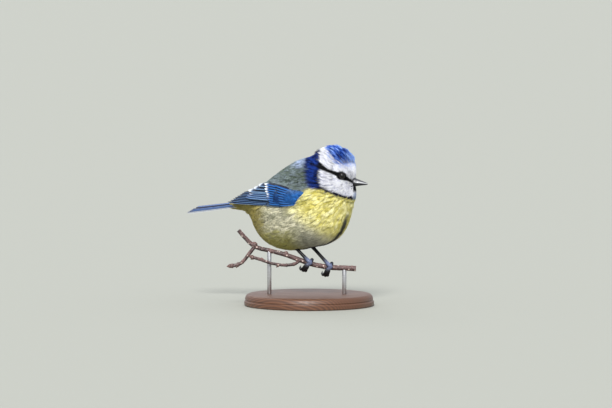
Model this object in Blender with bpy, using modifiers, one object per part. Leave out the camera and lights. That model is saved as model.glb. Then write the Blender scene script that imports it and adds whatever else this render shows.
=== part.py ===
"""Blue tit, life size, gripping a cut length of twig that two rods hold over a round base.

Units in this file are millimetres until a mesh is written, where MM turns them to metres.
The bird faces +X, its left side is +Y and +Z is up. The origin is the centre of the base's underside.
"""

import math
import random
from dataclasses import dataclass

import bmesh
import bpy
import numpy as np
from mathutils import Matrix, Vector

MM = 0.001
GAP = 0.3
SEED = 11
COLLECTION = "blue_tit"
CUTTERS = "blue_tit_cutters"

# The perch runs at this angle to the bird's own length, seen from above.
PERCH_TURN = math.radians(27.0)
FEET_CENTRE = Vector((8.0, 0.0, 24.0))
ALONG = Vector((math.cos(PERCH_TURN), math.sin(PERCH_TURN), 0.0))
ACROSS = Vector((math.sin(PERCH_TURN), -math.cos(PERCH_TURN), 0.0))

# Base and rods.
BASE_RADIUS = 39.0
BASE_HEIGHT = 7.0
BASE_EDGE = 1.2
ROD_RADIUS = 1.3
ROD_PLACES = (14.0, -31.0)

# Head and its frame.
HEAD_CENTRE = Vector((16.0, 1.0, 82.0))
HEAD_YAW = math.radians(15.0)
EYE_PLACE = (7.0, 9.65, -2.9)
EYE_RADIUS = 2.15
LID_RADIUS = 2.05
LID_THICKNESS = 0.48
BILL_BASE = (13.0, 0.0, -7.6)
BILL_LENGTH = 8.0
BILL_PITCH = math.radians(-1.5)
BILL_HALF_WIDTH = 2.15
BILL_UPPER_HEIGHT = 2.65
BILL_LOWER_HEIGHT = 2.1

# Planes that part the flesh: a point and the direction of the neck.
NECK_AXIS = Vector((0.66, 0.0, 0.75)).normalized()
HEAD_PLANE = HEAD_CENTRE - NECK_AXIS * 8.0
NECK_PLANE = HEAD_CENTRE - NECK_AXIS * 14.5
RUMP_X = -38.0

# Feathers.
VANE_THICKNESS = 0.5
WING_CORE_DEPTH = 2.4
WING_PROUD = 0.4
WING_TILT = math.radians(25.0)
TAIL_TIP_X = -80.5
TAIL_STEP = 0.44
TAIL_ROLL = math.radians(5.0)
TAIL_NOTCH = 4.0

# Legs and feet.
TARSUS_RADIUS = 1.12
TOE_RADIUS = 0.82
GRIP_ANGLE = 14.0
PAD_REACH = 1.25
PAD_RADII = (1.5, 1.2, 1.6)
TWIG_RADIUS = 1.5
FOOT_PLACES = {"right": -6.9, "left": 5.4}
LEG_TOPS = {"right": Vector((-8.1, -5.0, 36.3)), "left": Vector((0.3, 2.5, 35.8))}


@dataclass(frozen=True)
class Blob:
    """One ellipsoid of the body form, nose up by its pitch."""

    centre: tuple
    radii: tuple
    pitch: float = 0.0
    yaw: float = 0.0


BLEND = 0.42
DEEPEST = 60.0
BODY_BLOBS = (
    Blob((-6.0, 0.0, 58.6), (31.2, 22.4, 24.2), math.radians(24.0)),
    Blob((7.0, 0.0, 57.8), (17.9, 19.0, 20.6), math.radians(10.0)),
    Blob((-1.0, 0.0, 72.0), (18.0, 16.0, 15.2), math.radians(38.0)),
    Blob((12.6, 0.8, 71.5), (11.6, 12.4, 12.8), math.radians(30.0)),
    Blob(tuple(HEAD_CENTRE), (13.5, 12.0, 14.1), math.radians(-10.0), HEAD_YAW),
    Blob((21.0, 2.4, 67.8), (7.6, 7.6, 8.0), 0.0, HEAD_YAW),
    Blob((-29.0, 0.0, 61.0), (12.5, 11.0, 8.4), math.radians(8.0)),
)


def clear_scene():
    """Take away whatever the file opened with."""
    for obj in list(bpy.data.objects):
        bpy.data.objects.remove(obj)


def collection(name, hidden=False):
    """A collection of that name, linked to the scene."""
    made = bpy.data.collections.new(name)
    made.hide_render = hidden
    bpy.context.scene.collection.children.link(made)
    return made


def material(name, colour, roughness, metallic=0.0):
    """A Principled material with one colour."""
    made = bpy.data.materials.new(name)
    made.use_nodes = True
    shader = made.node_tree.nodes["Principled BSDF"]
    shader.inputs["Base Color"].default_value = (*colour, 1.0)
    shader.inputs["Roughness"].default_value = roughness
    shader.inputs["Metallic"].default_value = metallic
    made.diffuse_color = (*colour, 1.0)
    return made


def object_from(name, mesh_bm, group):
    """An object in metres from a bmesh in millimetres, with its faces turned out."""
    bmesh.ops.recalc_face_normals(mesh_bm, faces=mesh_bm.faces)
    bmesh.ops.scale(mesh_bm, vec=(MM, MM, MM), verts=mesh_bm.verts)
    mesh = bpy.data.meshes.new(name)
    mesh_bm.to_mesh(mesh)
    mesh_bm.free()
    obj = bpy.data.objects.new(name, mesh)
    group.objects.link(obj)
    return obj


def finish(obj, look, angle=35.0):
    """Give a node its material and smooth shading."""
    obj.data.materials.clear()
    obj.data.materials.append(look)
    obj.data.shade_smooth()
    obj.data.set_sharp_from_angle(angle=math.radians(angle))


def largest_body(obj):
    """Keep only the largest closed surface of a mesh."""
    source = bmesh.new()
    source.from_mesh(obj.data)
    left = set(source.verts)
    best = []
    best_volume = -1.0
    while left:
        island = {left.pop()}
        edge = list(island)
        while edge:
            found = [e.other_vert(v) for v in edge for e in v.link_edges]
            edge = [v for v in dict.fromkeys(found) if v not in island]
            island.update(edge)
        left -= island
        volume = abs(sum(
            f.calc_center_median().dot(f.normal) * f.calc_area()
            for f in source.faces if f.verts[0] in island
        ))
        if volume > best_volume:
            best_volume = volume
            best = island
    bmesh.ops.delete(source, geom=[v for v in source.verts if v not in best], context="VERTS")
    bmesh.ops.triangulate(source, faces=source.faces)
    source.to_mesh(obj.data)
    source.free()


def boolean(obj, operands, operation, solver="EXACT"):
    """Join or cut with a list of closed meshes, apply it and remove them."""
    group = bpy.data.collections.new("operands")
    for operand in operands:
        group.objects.link(operand)
    step = obj.modifiers.new(operation.lower(), "BOOLEAN")
    step.operation = operation
    step.solver = solver
    step.operand_type = "COLLECTION"
    step.collection = group
    graph = bpy.context.evaluated_depsgraph_get()
    mesh = bpy.data.meshes.new_from_object(obj.evaluated_get(graph))
    obj.modifiers.clear()
    old = obj.data
    obj.data = mesh
    bpy.data.meshes.remove(old)
    for operand in operands:
        bpy.data.objects.remove(operand)
    bpy.data.collections.remove(group)


def smooth_through(points):
    """A smooth curve y(x) through a few (x, y) points, level where they turn."""
    xs = np.array([p[0] for p in points], float)
    ys = np.array([p[1] for p in points], float)
    order = np.argsort(xs)
    xs, ys = xs[order], ys[order]
    steps = np.diff(ys) / np.diff(xs)
    slopes = np.empty_like(ys)
    slopes[0], slopes[-1] = steps[0], steps[-1]
    for i in range(1, len(ys) - 1):
        product = steps[i - 1] * steps[i]
        slopes[i] = 0.0 if product <= 0 else 2 * product / (steps[i - 1] + steps[i])

    def curve(x):
        x = min(max(x, xs[0]), xs[-1])
        i = min(int(np.searchsorted(xs, x, side="right")) - 1, len(xs) - 2)
        width = xs[i + 1] - xs[i]
        t = (x - xs[i]) / width
        a = (1 + 2 * t) * (1 - t) ** 2
        b = t * (1 - t) ** 2
        c = t * t * (3 - 2 * t)
        d = t * t * (t - 1)
        return float(a * ys[i] + b * width * slopes[i] + c * ys[i + 1] + d * width * slopes[i + 1])

    return curve


def body_distance(points):
    """Roughly the distance of points from the blended body form, negative inside."""
    total = np.zeros(len(points))
    for blob in BODY_BLOBS:
        turn = Matrix.Rotation(blob.yaw, 3, "Z") @ Matrix.Rotation(-blob.pitch, 3, "Y")
        local = (points - np.array(blob.centre)) @ np.array(turn)
        radii = np.array(blob.radii)
        reach = np.linalg.norm(local / radii, axis=1)
        slope = np.linalg.norm(local / radii**2, axis=1) / np.maximum(reach, 1e-6)
        depth = (reach - 1.0) / np.maximum(slope, 1e-6)
        total += np.exp(-BLEND * np.maximum(depth, -DEEPEST))
    return -np.log(np.maximum(total, 1e-300)) / BLEND


def cast_out(centre, directions, reach=75.0, samples=90):
    """Where rays from a centre inside the body last leave the body form."""
    start = np.array(centre, float)
    far = np.full(len(directions), 0.0)
    near = np.full(len(directions), reach)
    found = np.zeros(len(directions), bool)
    for distance in np.linspace(reach, 0.0, samples):
        inside = body_distance(start + directions * distance) < 0
        newly = inside & ~found
        far[newly] = distance
        near[newly] = distance + reach / (samples - 1)
        found |= inside
    for _ in range(18):
        middle = (far + near) / 2
        inside = body_distance(start + directions * middle[:, None]) < 0
        far = np.where(inside, middle, far)
        near = np.where(inside, near, middle)
    return start + directions * far[:, None]


def head_point(forward, right, up):
    """A point of the head's frame in the bird's frame."""
    ahead = Vector((math.cos(HEAD_YAW), math.sin(HEAD_YAW), 0.0))
    side = Vector((math.sin(HEAD_YAW), -math.cos(HEAD_YAW), 0.0))
    return HEAD_CENTRE + ahead * forward + side * right + Vector((0.0, 0.0, up))


def head_axis(forward, right, up):
    """A direction of the head's frame in the bird's frame."""
    return (head_point(forward, right, up) - HEAD_CENTRE).normalized()


def flesh(name, centre, segments, rings, axis, planes, group):
    """The body form seen from one centre, kept between planes and closed over them."""
    form = bmesh.new()
    bmesh.ops.create_uvsphere(form, u_segments=segments, v_segments=rings, radius=1.0)
    turn = Vector((0.0, 0.0, 1.0)).rotation_difference(axis).to_matrix()
    directions = np.array([turn @ v.co.normalized() for v in form.verts])
    for vert, place in zip(form.verts, cast_out(centre, directions)):
        vert.co = place
    for point, keep in planes:
        geometry = form.verts[:] + form.edges[:] + form.faces[:]
        cut = bmesh.ops.bisect_plane(
            form, geom=geometry, dist=1e-5, plane_co=point, plane_no=keep, clear_inner=True
        )
        rim = [e for e in cut["geom_cut"] if isinstance(e, bmesh.types.BMEdge)]
        bmesh.ops.contextual_create(form, geom=rim)
    bmesh.ops.triangulate(form, faces=form.faces)
    return object_from(name, form, group)


def slab(name, top, bottom, group):
    """A closed plate between two grids of points, cut into triangles alike on both faces."""
    rows, columns = len(top), len(top[0])
    form = bmesh.new()
    upper = [[form.verts.new(p) for p in row] for row in top]
    lower = [[form.verts.new(p) for p in row] for row in bottom]
    for i in range(rows - 1):
        for j in range(columns - 1):
            for grid in (upper, lower):
                a, b = grid[i][j], grid[i][j + 1]
                c, d = grid[i + 1][j + 1], grid[i + 1][j]
                form.faces.new((a, b, c))
                form.faces.new((a, c, d))
    rim = [(0, j) for j in range(columns)]
    rim += [(i, columns - 1) for i in range(1, rows)]
    rim += [(rows - 1, j) for j in range(columns - 2, -1, -1)]
    rim += [(i, 0) for i in range(rows - 2, 0, -1)]
    for (i, j), (k, m) in zip(rim, rim[1:] + rim[:1]):
        form.faces.new((upper[i][j], upper[k][m], lower[k][m]))
        form.faces.new((upper[i][j], lower[k][m], lower[i][j]))
    return object_from(name, form, group)


def vane(name, centres, sides, normals, half_widths, group, crown=0.25):
    """One feather: a thin plate along its shaft, a little raised at the shaft when crowned."""
    top = []
    bottom = []
    for centre, side, normal, half in zip(centres, sides, normals, half_widths):
        edge_a = centre - side * half
        edge_b = centre + side * half
        row = [edge_a, centre + normal * crown, edge_b] if crown else [edge_a, edge_b]
        top.append(row)
        bottom.append([p - normal * VANE_THICKNESS for p in row])
    return slab(name, top, bottom, group)


def tube(name, points, radii, group, resolution=2):
    """A closed tube through points with a radius at each, from a bevelled curve made a mesh."""
    line = bpy.data.curves.new(name, "CURVE")
    line.dimensions = "3D"
    line.bevel_depth = MM
    line.bevel_resolution = resolution
    line.use_fill_caps = True
    run = line.splines.new("POLY")
    run.points.add(len(points) - 1)
    for knot, point, radius in zip(run.points, points, radii):
        knot.co = (*(Vector(point) * MM), 1.0)
        knot.radius = radius
    guide = bpy.data.objects.new(name + "_guide", line)
    group.objects.link(guide)
    graph = bpy.context.evaluated_depsgraph_get()
    mesh = bpy.data.meshes.new_from_object(guide.evaluated_get(graph))
    mesh.name = name
    bpy.data.objects.remove(guide)
    form = bmesh.new()
    form.from_mesh(mesh)
    bmesh.ops.remove_doubles(form, verts=form.verts, dist=1e-7)
    bmesh.ops.recalc_face_normals(form, faces=form.faces)
    bmesh.ops.triangulate(form, faces=form.faces)
    form.to_mesh(mesh)
    form.free()
    obj = bpy.data.objects.new(name, mesh)
    group.objects.link(obj)
    return obj


def ball(name, centre, radii, turn, segments, rings, group):
    """An ellipsoid."""
    form = bmesh.new()
    bmesh.ops.create_uvsphere(form, u_segments=segments, v_segments=rings, radius=1.0)
    bmesh.ops.scale(form, vec=radii, verts=form.verts)
    bmesh.ops.transform(form, matrix=Matrix.Translation(centre) @ turn.to_4x4(), verts=form.verts)
    bmesh.ops.triangulate(form, faces=form.faces)
    return object_from(name, form, group)


def ring(name, centre, axis, radius, thickness, group, segments=14, sides=5):
    """A torus, for a lid."""
    form = bmesh.new()
    circle = [
        form.verts.new((radius + thickness * math.cos(a), 0.0, thickness * math.sin(a)))
        for a in (2 * math.pi * i / sides for i in range(sides))
    ]
    edges = [form.edges.new((a, b)) for a, b in zip(circle, circle[1:] + circle[:1])]
    bmesh.ops.spin(
        form, geom=circle + edges, cent=(0, 0, 0), axis=(0, 0, 1), angle=2 * math.pi,
        steps=segments, use_merge=True,
    )
    bmesh.ops.remove_doubles(form, verts=form.verts, dist=1e-4)
    turn = Vector((0.0, 0.0, 1.0)).rotation_difference(axis).to_matrix().to_4x4()
    bmesh.ops.transform(form, matrix=Matrix.Translation(centre) @ turn, verts=form.verts)
    return object_from(name, form, group)


# Wing surface: half width of the pair of wings, mid height and half height along X.
WING_MID = smooth_through(((9, 66.6), (0, 66.4), (-18, 66.6), (-30, 66.0), (-42, 64.2), (-52, 62.2)))
WING_HALF = smooth_through(((9, 1.8), (6, 4.2), (0, 5.8), (-18, 6.6), (-30, 5.4), (-42, 3.0), (-52, 1.4)))
WING_LEAN = smooth_through(((9, 0.15), (-10, 0.25), (-25, 0.4), (-40, 0.75), (-52, 0.8)))
WING_BULGE = smooth_through(((9, 0.03), (-20, 0.024), (-35, 0.02), (-52, 0.0)))


def side_reach(x):
    """Half the body's width at the wing's mid height."""
    return float(cast_out((x, 0.0, WING_MID(x)), np.array([[0.0, 1.0, 0.0]]))[0][1])


WING_OUT = smooth_through(
    [(x, side_reach(x) + WING_PROUD) for x in (9, 4, -2, -9, -16)]
    + [(-24, 16.4), (-32, 12.9), (-40, 10.0), (-47, 7.9), (-52, 6.4)]
)


def wing_place(x, rise, lift, side):
    """A point on the folded wing: along X, above its mid line, and off its surface."""

    def on_surface(x, rise):
        out = WING_OUT(x) - WING_LEAN(x) * rise - WING_BULGE(x) * rise * rise
        return Vector((x, side * out, WING_MID(x) + rise))

    step = 0.05
    along = on_surface(x + step, rise) - on_surface(x - step, rise)
    upward = on_surface(x, rise + step) - on_surface(x, rise - step)
    normal = along.cross(upward).normalized()
    if normal.y * side < 0:
        normal = -normal
    return on_surface(x, rise) + normal * lift, normal


@dataclass(frozen=True)
class Tier:
    """A row of wing feathers, the first the lowest. Root and tip are (x, rise, lift)."""

    name: str
    count: int
    first: tuple
    last: tuple
    half_width: float
    profile: tuple
    stations: tuple
    crown: float = 0.0


LONG = (0.0, 0.55, 1.0)
SHORT = (0.0, 0.6, 1.0)
WING_TIERS = (
    Tier("primary", 6, ((-9, -4.3, -0.9), (-50, -0.6, 0.0)), ((-10, 0.8, -0.6), (-36, 0.6, 1.4)),
         1.6, (0.8, 1.0, 0.4), LONG),
    Tier("secondary", 5, ((-8, -1.4, 0.1), (-34, -1.2, 1.9)), ((-8, 4.2, 0.1), (-29.5, 3.4, 1.9)),
         1.7, (0.8, 1.0, 0.55), LONG),
    Tier("tertial", 3, ((-9, 3.0, 0.3), (-35, 2.0, 3.0)), ((-9, 5.8, 0.3), (-24, 5.0, 2.6)),
         2.0, (0.7, 1.0, 0.45), LONG),
    Tier("greater_covert", 7, ((0, -4.0, 0.3), (-13, -4.9, 1.3)), ((-2, 5.0, 0.3), (-16, 5.2, 2.2)),
         1.25, (0.8, 1.0, 0.45), SHORT),
    Tier("median_covert", 6, ((4, -3.0, 0.5), (-4, -4.6, 2.0)), ((3, 3.2, 0.5), (-7, 4.6, 2.6)),
         1.3, (0.7, 1.0, 0.45), SHORT),
)
WING_CORE_LIFT = smooth_through(((9, -0.6), (7, 0.9), (3, 1.7), (-1, 1.4), (-6, 1.0), (-14, 0.5), (-22, -0.6)))


def wing_core(side, group):
    """The hand and arm with their smooth small coverts, which every long feather is rooted in."""
    top = []
    bottom = []
    for x in (8.6, 7.4, 5.0, 1.5, -3.0, -8.0, -14.0, -22.0):
        half = WING_HALF(x) - 0.9
        row_top = []
        row_bottom = []
        for part in (-1.0, -0.7, 0.0, 0.7, 1.0):
            rise = part * half
            edge = 1.0 - abs(part) ** 3
            lift = -WING_CORE_DEPTH * 0.5 + (WING_CORE_LIFT(x) + WING_CORE_DEPTH * 0.5) * edge
            row_top.append(wing_place(x, rise, lift, side)[0])
            row_bottom.append(wing_place(x, rise, -WING_CORE_DEPTH, side)[0])
        top.append(row_top)
        bottom.append(row_bottom)
    return slab("core", top, bottom, group)


def wing_vane(tier, index, side, draw, group):
    """One feather of a tier, tilted so that its lower edge lies over the one below."""
    part = index / (tier.count - 1)
    root = [a + (b - a) * part for a, b in zip(tier.first[0], tier.last[0])]
    tip = [a + (b - a) * part for a, b in zip(tier.first[1], tier.last[1])]
    tip[0] += draw.uniform(-0.5, 0.5)
    width = tier.half_width * draw.uniform(0.95, 1.05)
    centres = []
    sides = []
    normals = []
    for s in tier.stations:
        rise = root[1] + (tip[1] - root[1]) * s
        lift = root[2] + (tip[2] - root[2]) * (1 - (1 - s) ** 1.6)
        place, normal = wing_place(root[0] + (tip[0] - root[0]) * s, rise, lift, side)
        centres.append(place)
        normals.append(normal)
    for i, normal in enumerate(normals):
        ahead = centres[min(i + 1, len(centres) - 1)] - centres[max(i - 1, 0)]
        upward = normal.cross(ahead).normalized()
        if upward.z < 0:
            upward = -upward
        sides.append(upward * math.cos(WING_TILT) - normal * math.sin(WING_TILT))
        normals[i] = normal * math.cos(WING_TILT) + upward * math.sin(WING_TILT)
    halves = [width * p for p in tier.profile]
    return vane(f"{tier.name}_{index}", centres, sides, normals, halves, group, tier.crown)


def wing(label, side, group, helpers, look):
    """A folded wing: the core and its tiers of feathers, joined."""
    draw = random.Random(SEED)
    obj = wing_core(side, group)
    obj.name = f"wing_{label}"
    feathers = [
        wing_vane(tier, i, side, draw, helpers) for tier in WING_TIERS for i in range(tier.count)
    ]
    boolean(obj, feathers, "UNION")
    largest_body(obj)
    finish(obj, look)
    return obj


def wing_pocket(side, helpers):
    """The hollow that a folded wing lies in, one gap deeper and wider than the wing."""
    top = []
    bottom = []
    for x in (9.6, 5.0, -1.0, -8.0, -15.0, -22.0, -29.0, -36.0, -44.0):
        half = WING_HALF(x) + 1.2
        rises = [half * part for part in (-1.0, -0.5, 0.0, 0.6, 1.25)]
        inner = -WING_CORE_DEPTH - GAP
        top.append([wing_place(x, rise, 14.0, side)[0] for rise in rises])
        bottom.append([wing_place(x, rise, inner, side)[0] for rise in rises])
    return slab("wing_pocket", top, bottom, helpers)


def tail_centre(x):
    """Height of the tail's upper face along X."""
    return 60.6 + (x + 50.0) * 0.13


def tail_core(group):
    """The root of the tail under its upper and lower coverts."""
    stations = (
        (RUMP_X - GAP, 6.6, 61.2, 5.6),
        (-44.0, 5.0, 60.0, 4.0),
        (-50.0, 3.7, 59.3, 2.6),
        (-56.0, 2.4, 58.8, 1.5),
    )
    sides = 16
    form = bmesh.new()
    rings = []
    for x, half_width, middle, half_height in stations:
        angles = [2 * math.pi * i / sides for i in range(sides)]
        rings.append([
            form.verts.new((x, half_width * math.cos(a), middle + half_height * math.sin(a)))
            for a in angles
        ])
    for near, far in zip(rings, rings[1:]):
        for i in range(sides):
            j = (i + 1) % sides
            form.faces.new((near[i], near[j], far[j], far[i]))
    form.faces.new(rings[0])
    form.faces.new(rings[-1])
    bmesh.ops.triangulate(form, faces=form.faces)
    return object_from("tail", form, group)


def tail_vane(pair, side, draw, group):
    """One tail feather: pair 0 lies on top, pair 5 is the outermost and lowest."""
    drop = TAIL_STEP * (pair + 1)
    if pair == 0 and side > 0:
        drop = 0.0
    half = 2.5
    inner = -1.4 if pair == 0 else -0.2
    out_root = 0.1 * pair
    out_tip = 0.46 * pair
    tip_x = TAIL_TIP_X + TAIL_NOTCH * (1 - min(pair, 4) / 4) + draw.uniform(-0.15, 0.15)
    turn = Matrix.Rotation(TAIL_ROLL, 3, "X")
    centres = []
    sides = []
    normals = []
    halves = []
    for s, part in ((0.0, 0.6), (0.4, 0.85), (0.85, 1.0), (0.96, 0.75), (1.0, 0.35)):
        x = -41.0 + (tip_x + 41.0) * s
        width = half * part
        y = side * (inner + width + out_root + (out_tip - out_root) * s)
        rolled = turn @ Vector((0.0, y, -drop - 0.05 * abs(y)))
        centres.append(rolled + Vector((x, 0.0, tail_centre(x))))
        sides.append(turn @ Vector((0.0, side, -0.05)))
        normals.append(turn @ Vector((0.0, side * 0.05, 1.0)))
        halves.append(width)
    return vane(f"rectrix_{pair}", centres, sides, normals, halves, group, 0.0)


def tail(group, helpers, look):
    """Twelve feathers and the coverts over and under their roots, joined to the tail's core."""
    draw = random.Random(SEED + 1)
    obj = tail_core(group)
    feathers = [tail_vane(pair, side, draw, helpers) for pair in range(6) for side in (-1, 1)]
    boolean(obj, feathers, "UNION")
    largest_body(obj)
    finish(obj, look)
    return obj


def mandible(name, heights, sign, group, look):
    """One half of the bill, lofted from half ellipses that shrink to the tip."""
    start = head_point(*BILL_BASE)
    ahead = (head_axis(math.cos(BILL_PITCH), 0.0, math.sin(BILL_PITCH)))
    right = head_axis(0.0, 1.0, 0.0)
    up = right.cross(ahead).normalized()
    if up.z < 0:
        up = -up
    form = bmesh.new()
    rings = []
    stations = (0.0, 0.2, 0.42, 0.64, 0.84, 0.97)
    steps = 8
    for s, height in zip(stations, heights):
        half_width = BILL_HALF_WIDTH * (1.0 - s) ** 0.8 + 0.12
        centre = start + ahead * (BILL_LENGTH * s) + up * (sign * GAP / 2 - 0.5 * s * s)
        row = []
        for i in range(steps + 1):
            angle = math.pi * i / steps
            row.append(form.verts.new(
                centre + right * (half_width * math.cos(angle)) + up * (sign * height * math.sin(angle))
            ))
        rings.append(row)
    for near, far in zip(rings, rings[1:]):
        for i in range(steps):
            form.faces.new((near[i], near[i + 1], far[i + 1], far[i]))
        form.faces.new((near[0], near[-1], far[-1], far[0]))
    form.faces.new(rings[0])
    form.faces.new(rings[-1])
    bmesh.ops.triangulate(form, faces=form.faces)
    obj = object_from(name, form, group)
    finish(obj, look)
    return obj


def bill(group, helpers, upper_look, lower_look):
    """Both mandibles, with the line of the mouth between them and the nostrils in the upper."""
    upper_heights = [BILL_UPPER_HEIGHT * f for f in (1.0, 0.92, 0.76, 0.56, 0.34, 0.14)]
    lower_heights = [BILL_LOWER_HEIGHT * f for f in (1.0, 0.97, 0.85, 0.64, 0.38, 0.16)]
    upper = mandible("bill_upper", upper_heights, 1, group, upper_look)
    mandible("bill_lower", lower_heights, -1, group, lower_look)
    pits = []
    for side in (-1, 1):
        place = head_point(BILL_BASE[0] + 1.7, side * 1.55, BILL_BASE[2] + 1.25)
        turn = Matrix.Rotation(HEAD_YAW, 3, "Z")
        pits.append(ball("nostril", place, (0.55, 0.4, 0.3), turn, 7, 5, helpers))
    boolean(upper, pits, "DIFFERENCE")
    largest_body(upper)
    finish(upper, upper_look)


def head(group, helpers, look):
    """The head: lids raised round the eyes, a socket for each eye and a seat for the bill."""
    obj = flesh("head", HEAD_CENTRE, 34, 22, head_axis(1.0, 0.0, -0.1), ((HEAD_PLANE, NECK_AXIS),), group)
    lids = []
    sockets = []
    for side in (-1, 1):
        eye = head_point(EYE_PLACE[0], side * EYE_PLACE[1], EYE_PLACE[2])
        outward = head_axis(0.30, side * 1.0, 0.05)
        lids.append(ring("lid", eye + outward * 0.75, outward, LID_RADIUS, LID_THICKNESS, helpers))
        socket = EYE_RADIUS + GAP
        sockets.append(ball("socket", eye, (socket,) * 3, Matrix.Identity(3), 14, 9, helpers))
    boolean(obj, lids, "UNION")
    ahead = head_axis(math.cos(BILL_PITCH), 0.0, math.sin(BILL_PITCH))
    seat = bmesh.new()
    bmesh.ops.create_cube(seat, size=1.0)
    bmesh.ops.scale(seat, vec=(12.0, 5.4, 5.8), verts=seat.verts)
    turn = Vector((1.0, 0.0, 0.0)).rotation_difference(ahead).to_matrix().to_4x4()
    middle = head_point(*BILL_BASE) + ahead * (6.0 - GAP) + Vector((0.0, 0.0, 0.2))
    bmesh.ops.transform(seat, matrix=Matrix.Translation(middle) @ turn, verts=seat.verts)
    sockets.append(object_from("seat", seat, helpers))
    boolean(obj, sockets, "DIFFERENCE")
    largest_body(obj)
    finish(obj, look)
    return obj


def eyes(group, look):
    """Two eyeballs."""
    for label, side in (("right", 1), ("left", -1)):
        place = head_point(EYE_PLACE[0], side * EYE_PLACE[1], EYE_PLACE[2])
        obj = ball(f"eye_{label}", place, (EYE_RADIUS,) * 3, Matrix.Identity(3), 14, 9, group)
        finish(obj, look, 60.0)


# Twig: place along the perch line from the feet, and height.
TWIG_LINE = (
    (21.0, 22.4), (14.0, 22.8), (6.6, 23.1), (0.0, 24.0), (-6.6, 25.5), (-15.0, 28.5),
    (-22.0, 31.0), (-30.6, 33.2), (-36.5, 34.6), (-41.0, 36.6), (-45.5, 41.0), (-49.5, 45.5),
)


def perch_point(place, height, out=0.0):
    """A point in the upright plane of the perch, or out of it to the bird's right."""
    flat = FEET_CENTRE + ALONG * place + ACROSS * out
    return Vector((flat.x, flat.y, height))


def twig_at(place):
    """The twig's centre and its direction at a place along the perch."""
    curve = smooth_through(TWIG_LINE)
    centre = perch_point(place, curve(place))
    ahead = perch_point(place + 0.3, curve(place + 0.3)) - perch_point(place - 0.3, curve(place - 0.3))
    return centre, ahead.normalized()


def twig_tube(name, extra, group):
    """The main twig, or the same with its radius larger by extra, for a cutter."""
    points = [perch_point(place, height) for place, height in TWIG_LINE]
    radii = [TWIG_RADIUS + extra + 0.006 * place for place, _ in TWIG_LINE]
    return tube(name, points, radii, group)


def perch(group, helpers, look):
    """The cut length of twig, its fork knob and bud scars, and two side shoots."""
    twig = twig_tube("perch_twig", 0.0, group)
    knobs = []
    for place, rise, size in ((-40.2, 1.0, (2.3, 1.9, 1.9)), (-21.0, 1.4, (1.5, 1.1, 2.0)), (18.5, 0.2, (1.6, 1.8, 1.9))):
        centre, _ = twig_at(place)
        turn = Matrix.Rotation(PERCH_TURN, 3, "Z")
        knobs.append(ball("knob", centre + Vector((0.0, 0.0, rise)), size, turn, 8, 6, helpers))
    boolean(twig, knobs, "UNION")
    largest_body(twig)
    finish(twig, look)
    lower = [(-40.0, 35.5), (-43.0, 31.5), (-46.5, 27.0), (-49.5, 25.0), (-53.0, 24.2), (-56.5, 23.8)]
    shoot = tube("perch_shoot_low", [perch_point(a, b) for a, b in lower],
                 (1.15, 1.1, 1.05, 1.1, 1.35, 0.6), group)
    boolean(shoot, [twig_tube("cut", GAP, helpers), knob_cutter(helpers)], "DIFFERENCE")
    largest_body(shoot)
    finish(shoot, look)
    side = [(-13.2, 27.0, 0.5), (-16.0, 25.4, 2.4), (-22.0, 24.8, 3.6), (-29.5, 25.9, 4.2),
            (-36.0, 28.1, 4.2), (-40.5, 29.5, 4.0), (-43.5, 30.3, 3.8)]
    shoot = tube("perch_shoot_side", [perch_point(*p) for p in side],
                 (0.95, 0.95, 0.9, 0.85, 0.9, 1.25, 0.5), group)
    boolean(shoot, [twig_tube("cut", GAP, helpers)], "DIFFERENCE")
    largest_body(shoot)
    finish(shoot, look)


def knob_cutter(helpers):
    """The fork knob one gap larger."""
    centre, _ = twig_at(-40.2)
    turn = Matrix.Rotation(PERCH_TURN, 3, "Z")
    size = (2.3 + GAP, 1.9 + GAP, 1.9 + GAP)
    return ball("knob_cut", centre + Vector((0.0, 0.0, 1.0)), size, turn, 8, 6, helpers)


def stand(group, helpers, base_look, rod_look):
    """A turned base and two rods up to the twig."""
    profile = [(0.0, 0.0), (BASE_RADIUS - 0.6, 0.0), (BASE_RADIUS, 0.6), (BASE_RADIUS, BASE_HEIGHT - 3.2)]
    for i in range(4):
        angle = math.pi / 2 * i / 3
        profile.append((
            BASE_RADIUS - 1.6 - BASE_EDGE + BASE_EDGE * math.cos(angle),
            BASE_HEIGHT - BASE_EDGE + BASE_EDGE * math.sin(angle),
        ))
    profile.append((0.0, BASE_HEIGHT))
    form = bmesh.new()
    verts = [form.verts.new((r * MM, 0.0, z * MM)) for r, z in reversed(profile)]
    for a, b in zip(verts, verts[1:]):
        form.edges.new((a, b))
    mesh = bpy.data.meshes.new("stand_base")
    form.to_mesh(mesh)
    form.free()
    base = bpy.data.objects.new("stand_base", mesh)
    group.objects.link(base)
    turn = base.modifiers.new("turn", "SCREW")
    turn.steps = 32
    turn.render_steps = 32
    turn.use_merge_vertices = True
    turn.merge_threshold = 0.00001
    finish(base, base_look, 30.0)
    for number, place in enumerate(ROD_PLACES, 1):
        centre, _ = twig_at(place)
        foot = BASE_HEIGHT + GAP
        form = bmesh.new()
        bmesh.ops.create_cone(
            form, cap_ends=True, segments=16, radius1=ROD_RADIUS, radius2=ROD_RADIUS,
            depth=centre.z - foot,
        )
        middle = Vector((centre.x, centre.y, (centre.z + foot) / 2))
        bmesh.ops.translate(form, vec=middle, verts=form.verts)
        rod = object_from(f"stand_rod_{number}", form, group)
        boolean(rod, [twig_tube("cut", GAP, helpers)], "DIFFERENCE")
        largest_body(rod)
        finish(rod, rod_look)


def wrap_point(place, angle, radius):
    """A point round the twig: 90 degrees is on top, 0 is the side to the bird's right."""
    centre, ahead = twig_at(place)
    up = ACROSS.cross(ahead).normalized()
    if up.z < 0:
        up = -up
    return centre + (ACROSS * math.cos(angle) + up * math.sin(angle)) * radius


@dataclass(frozen=True)
class Toe:
    """A toe wrapped on the twig: spread of its tip along the twig, its arc in degrees and its slack."""

    name: str
    spread: float
    start: float
    end: float
    claw_end: float
    radius: float
    slack: float


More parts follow.
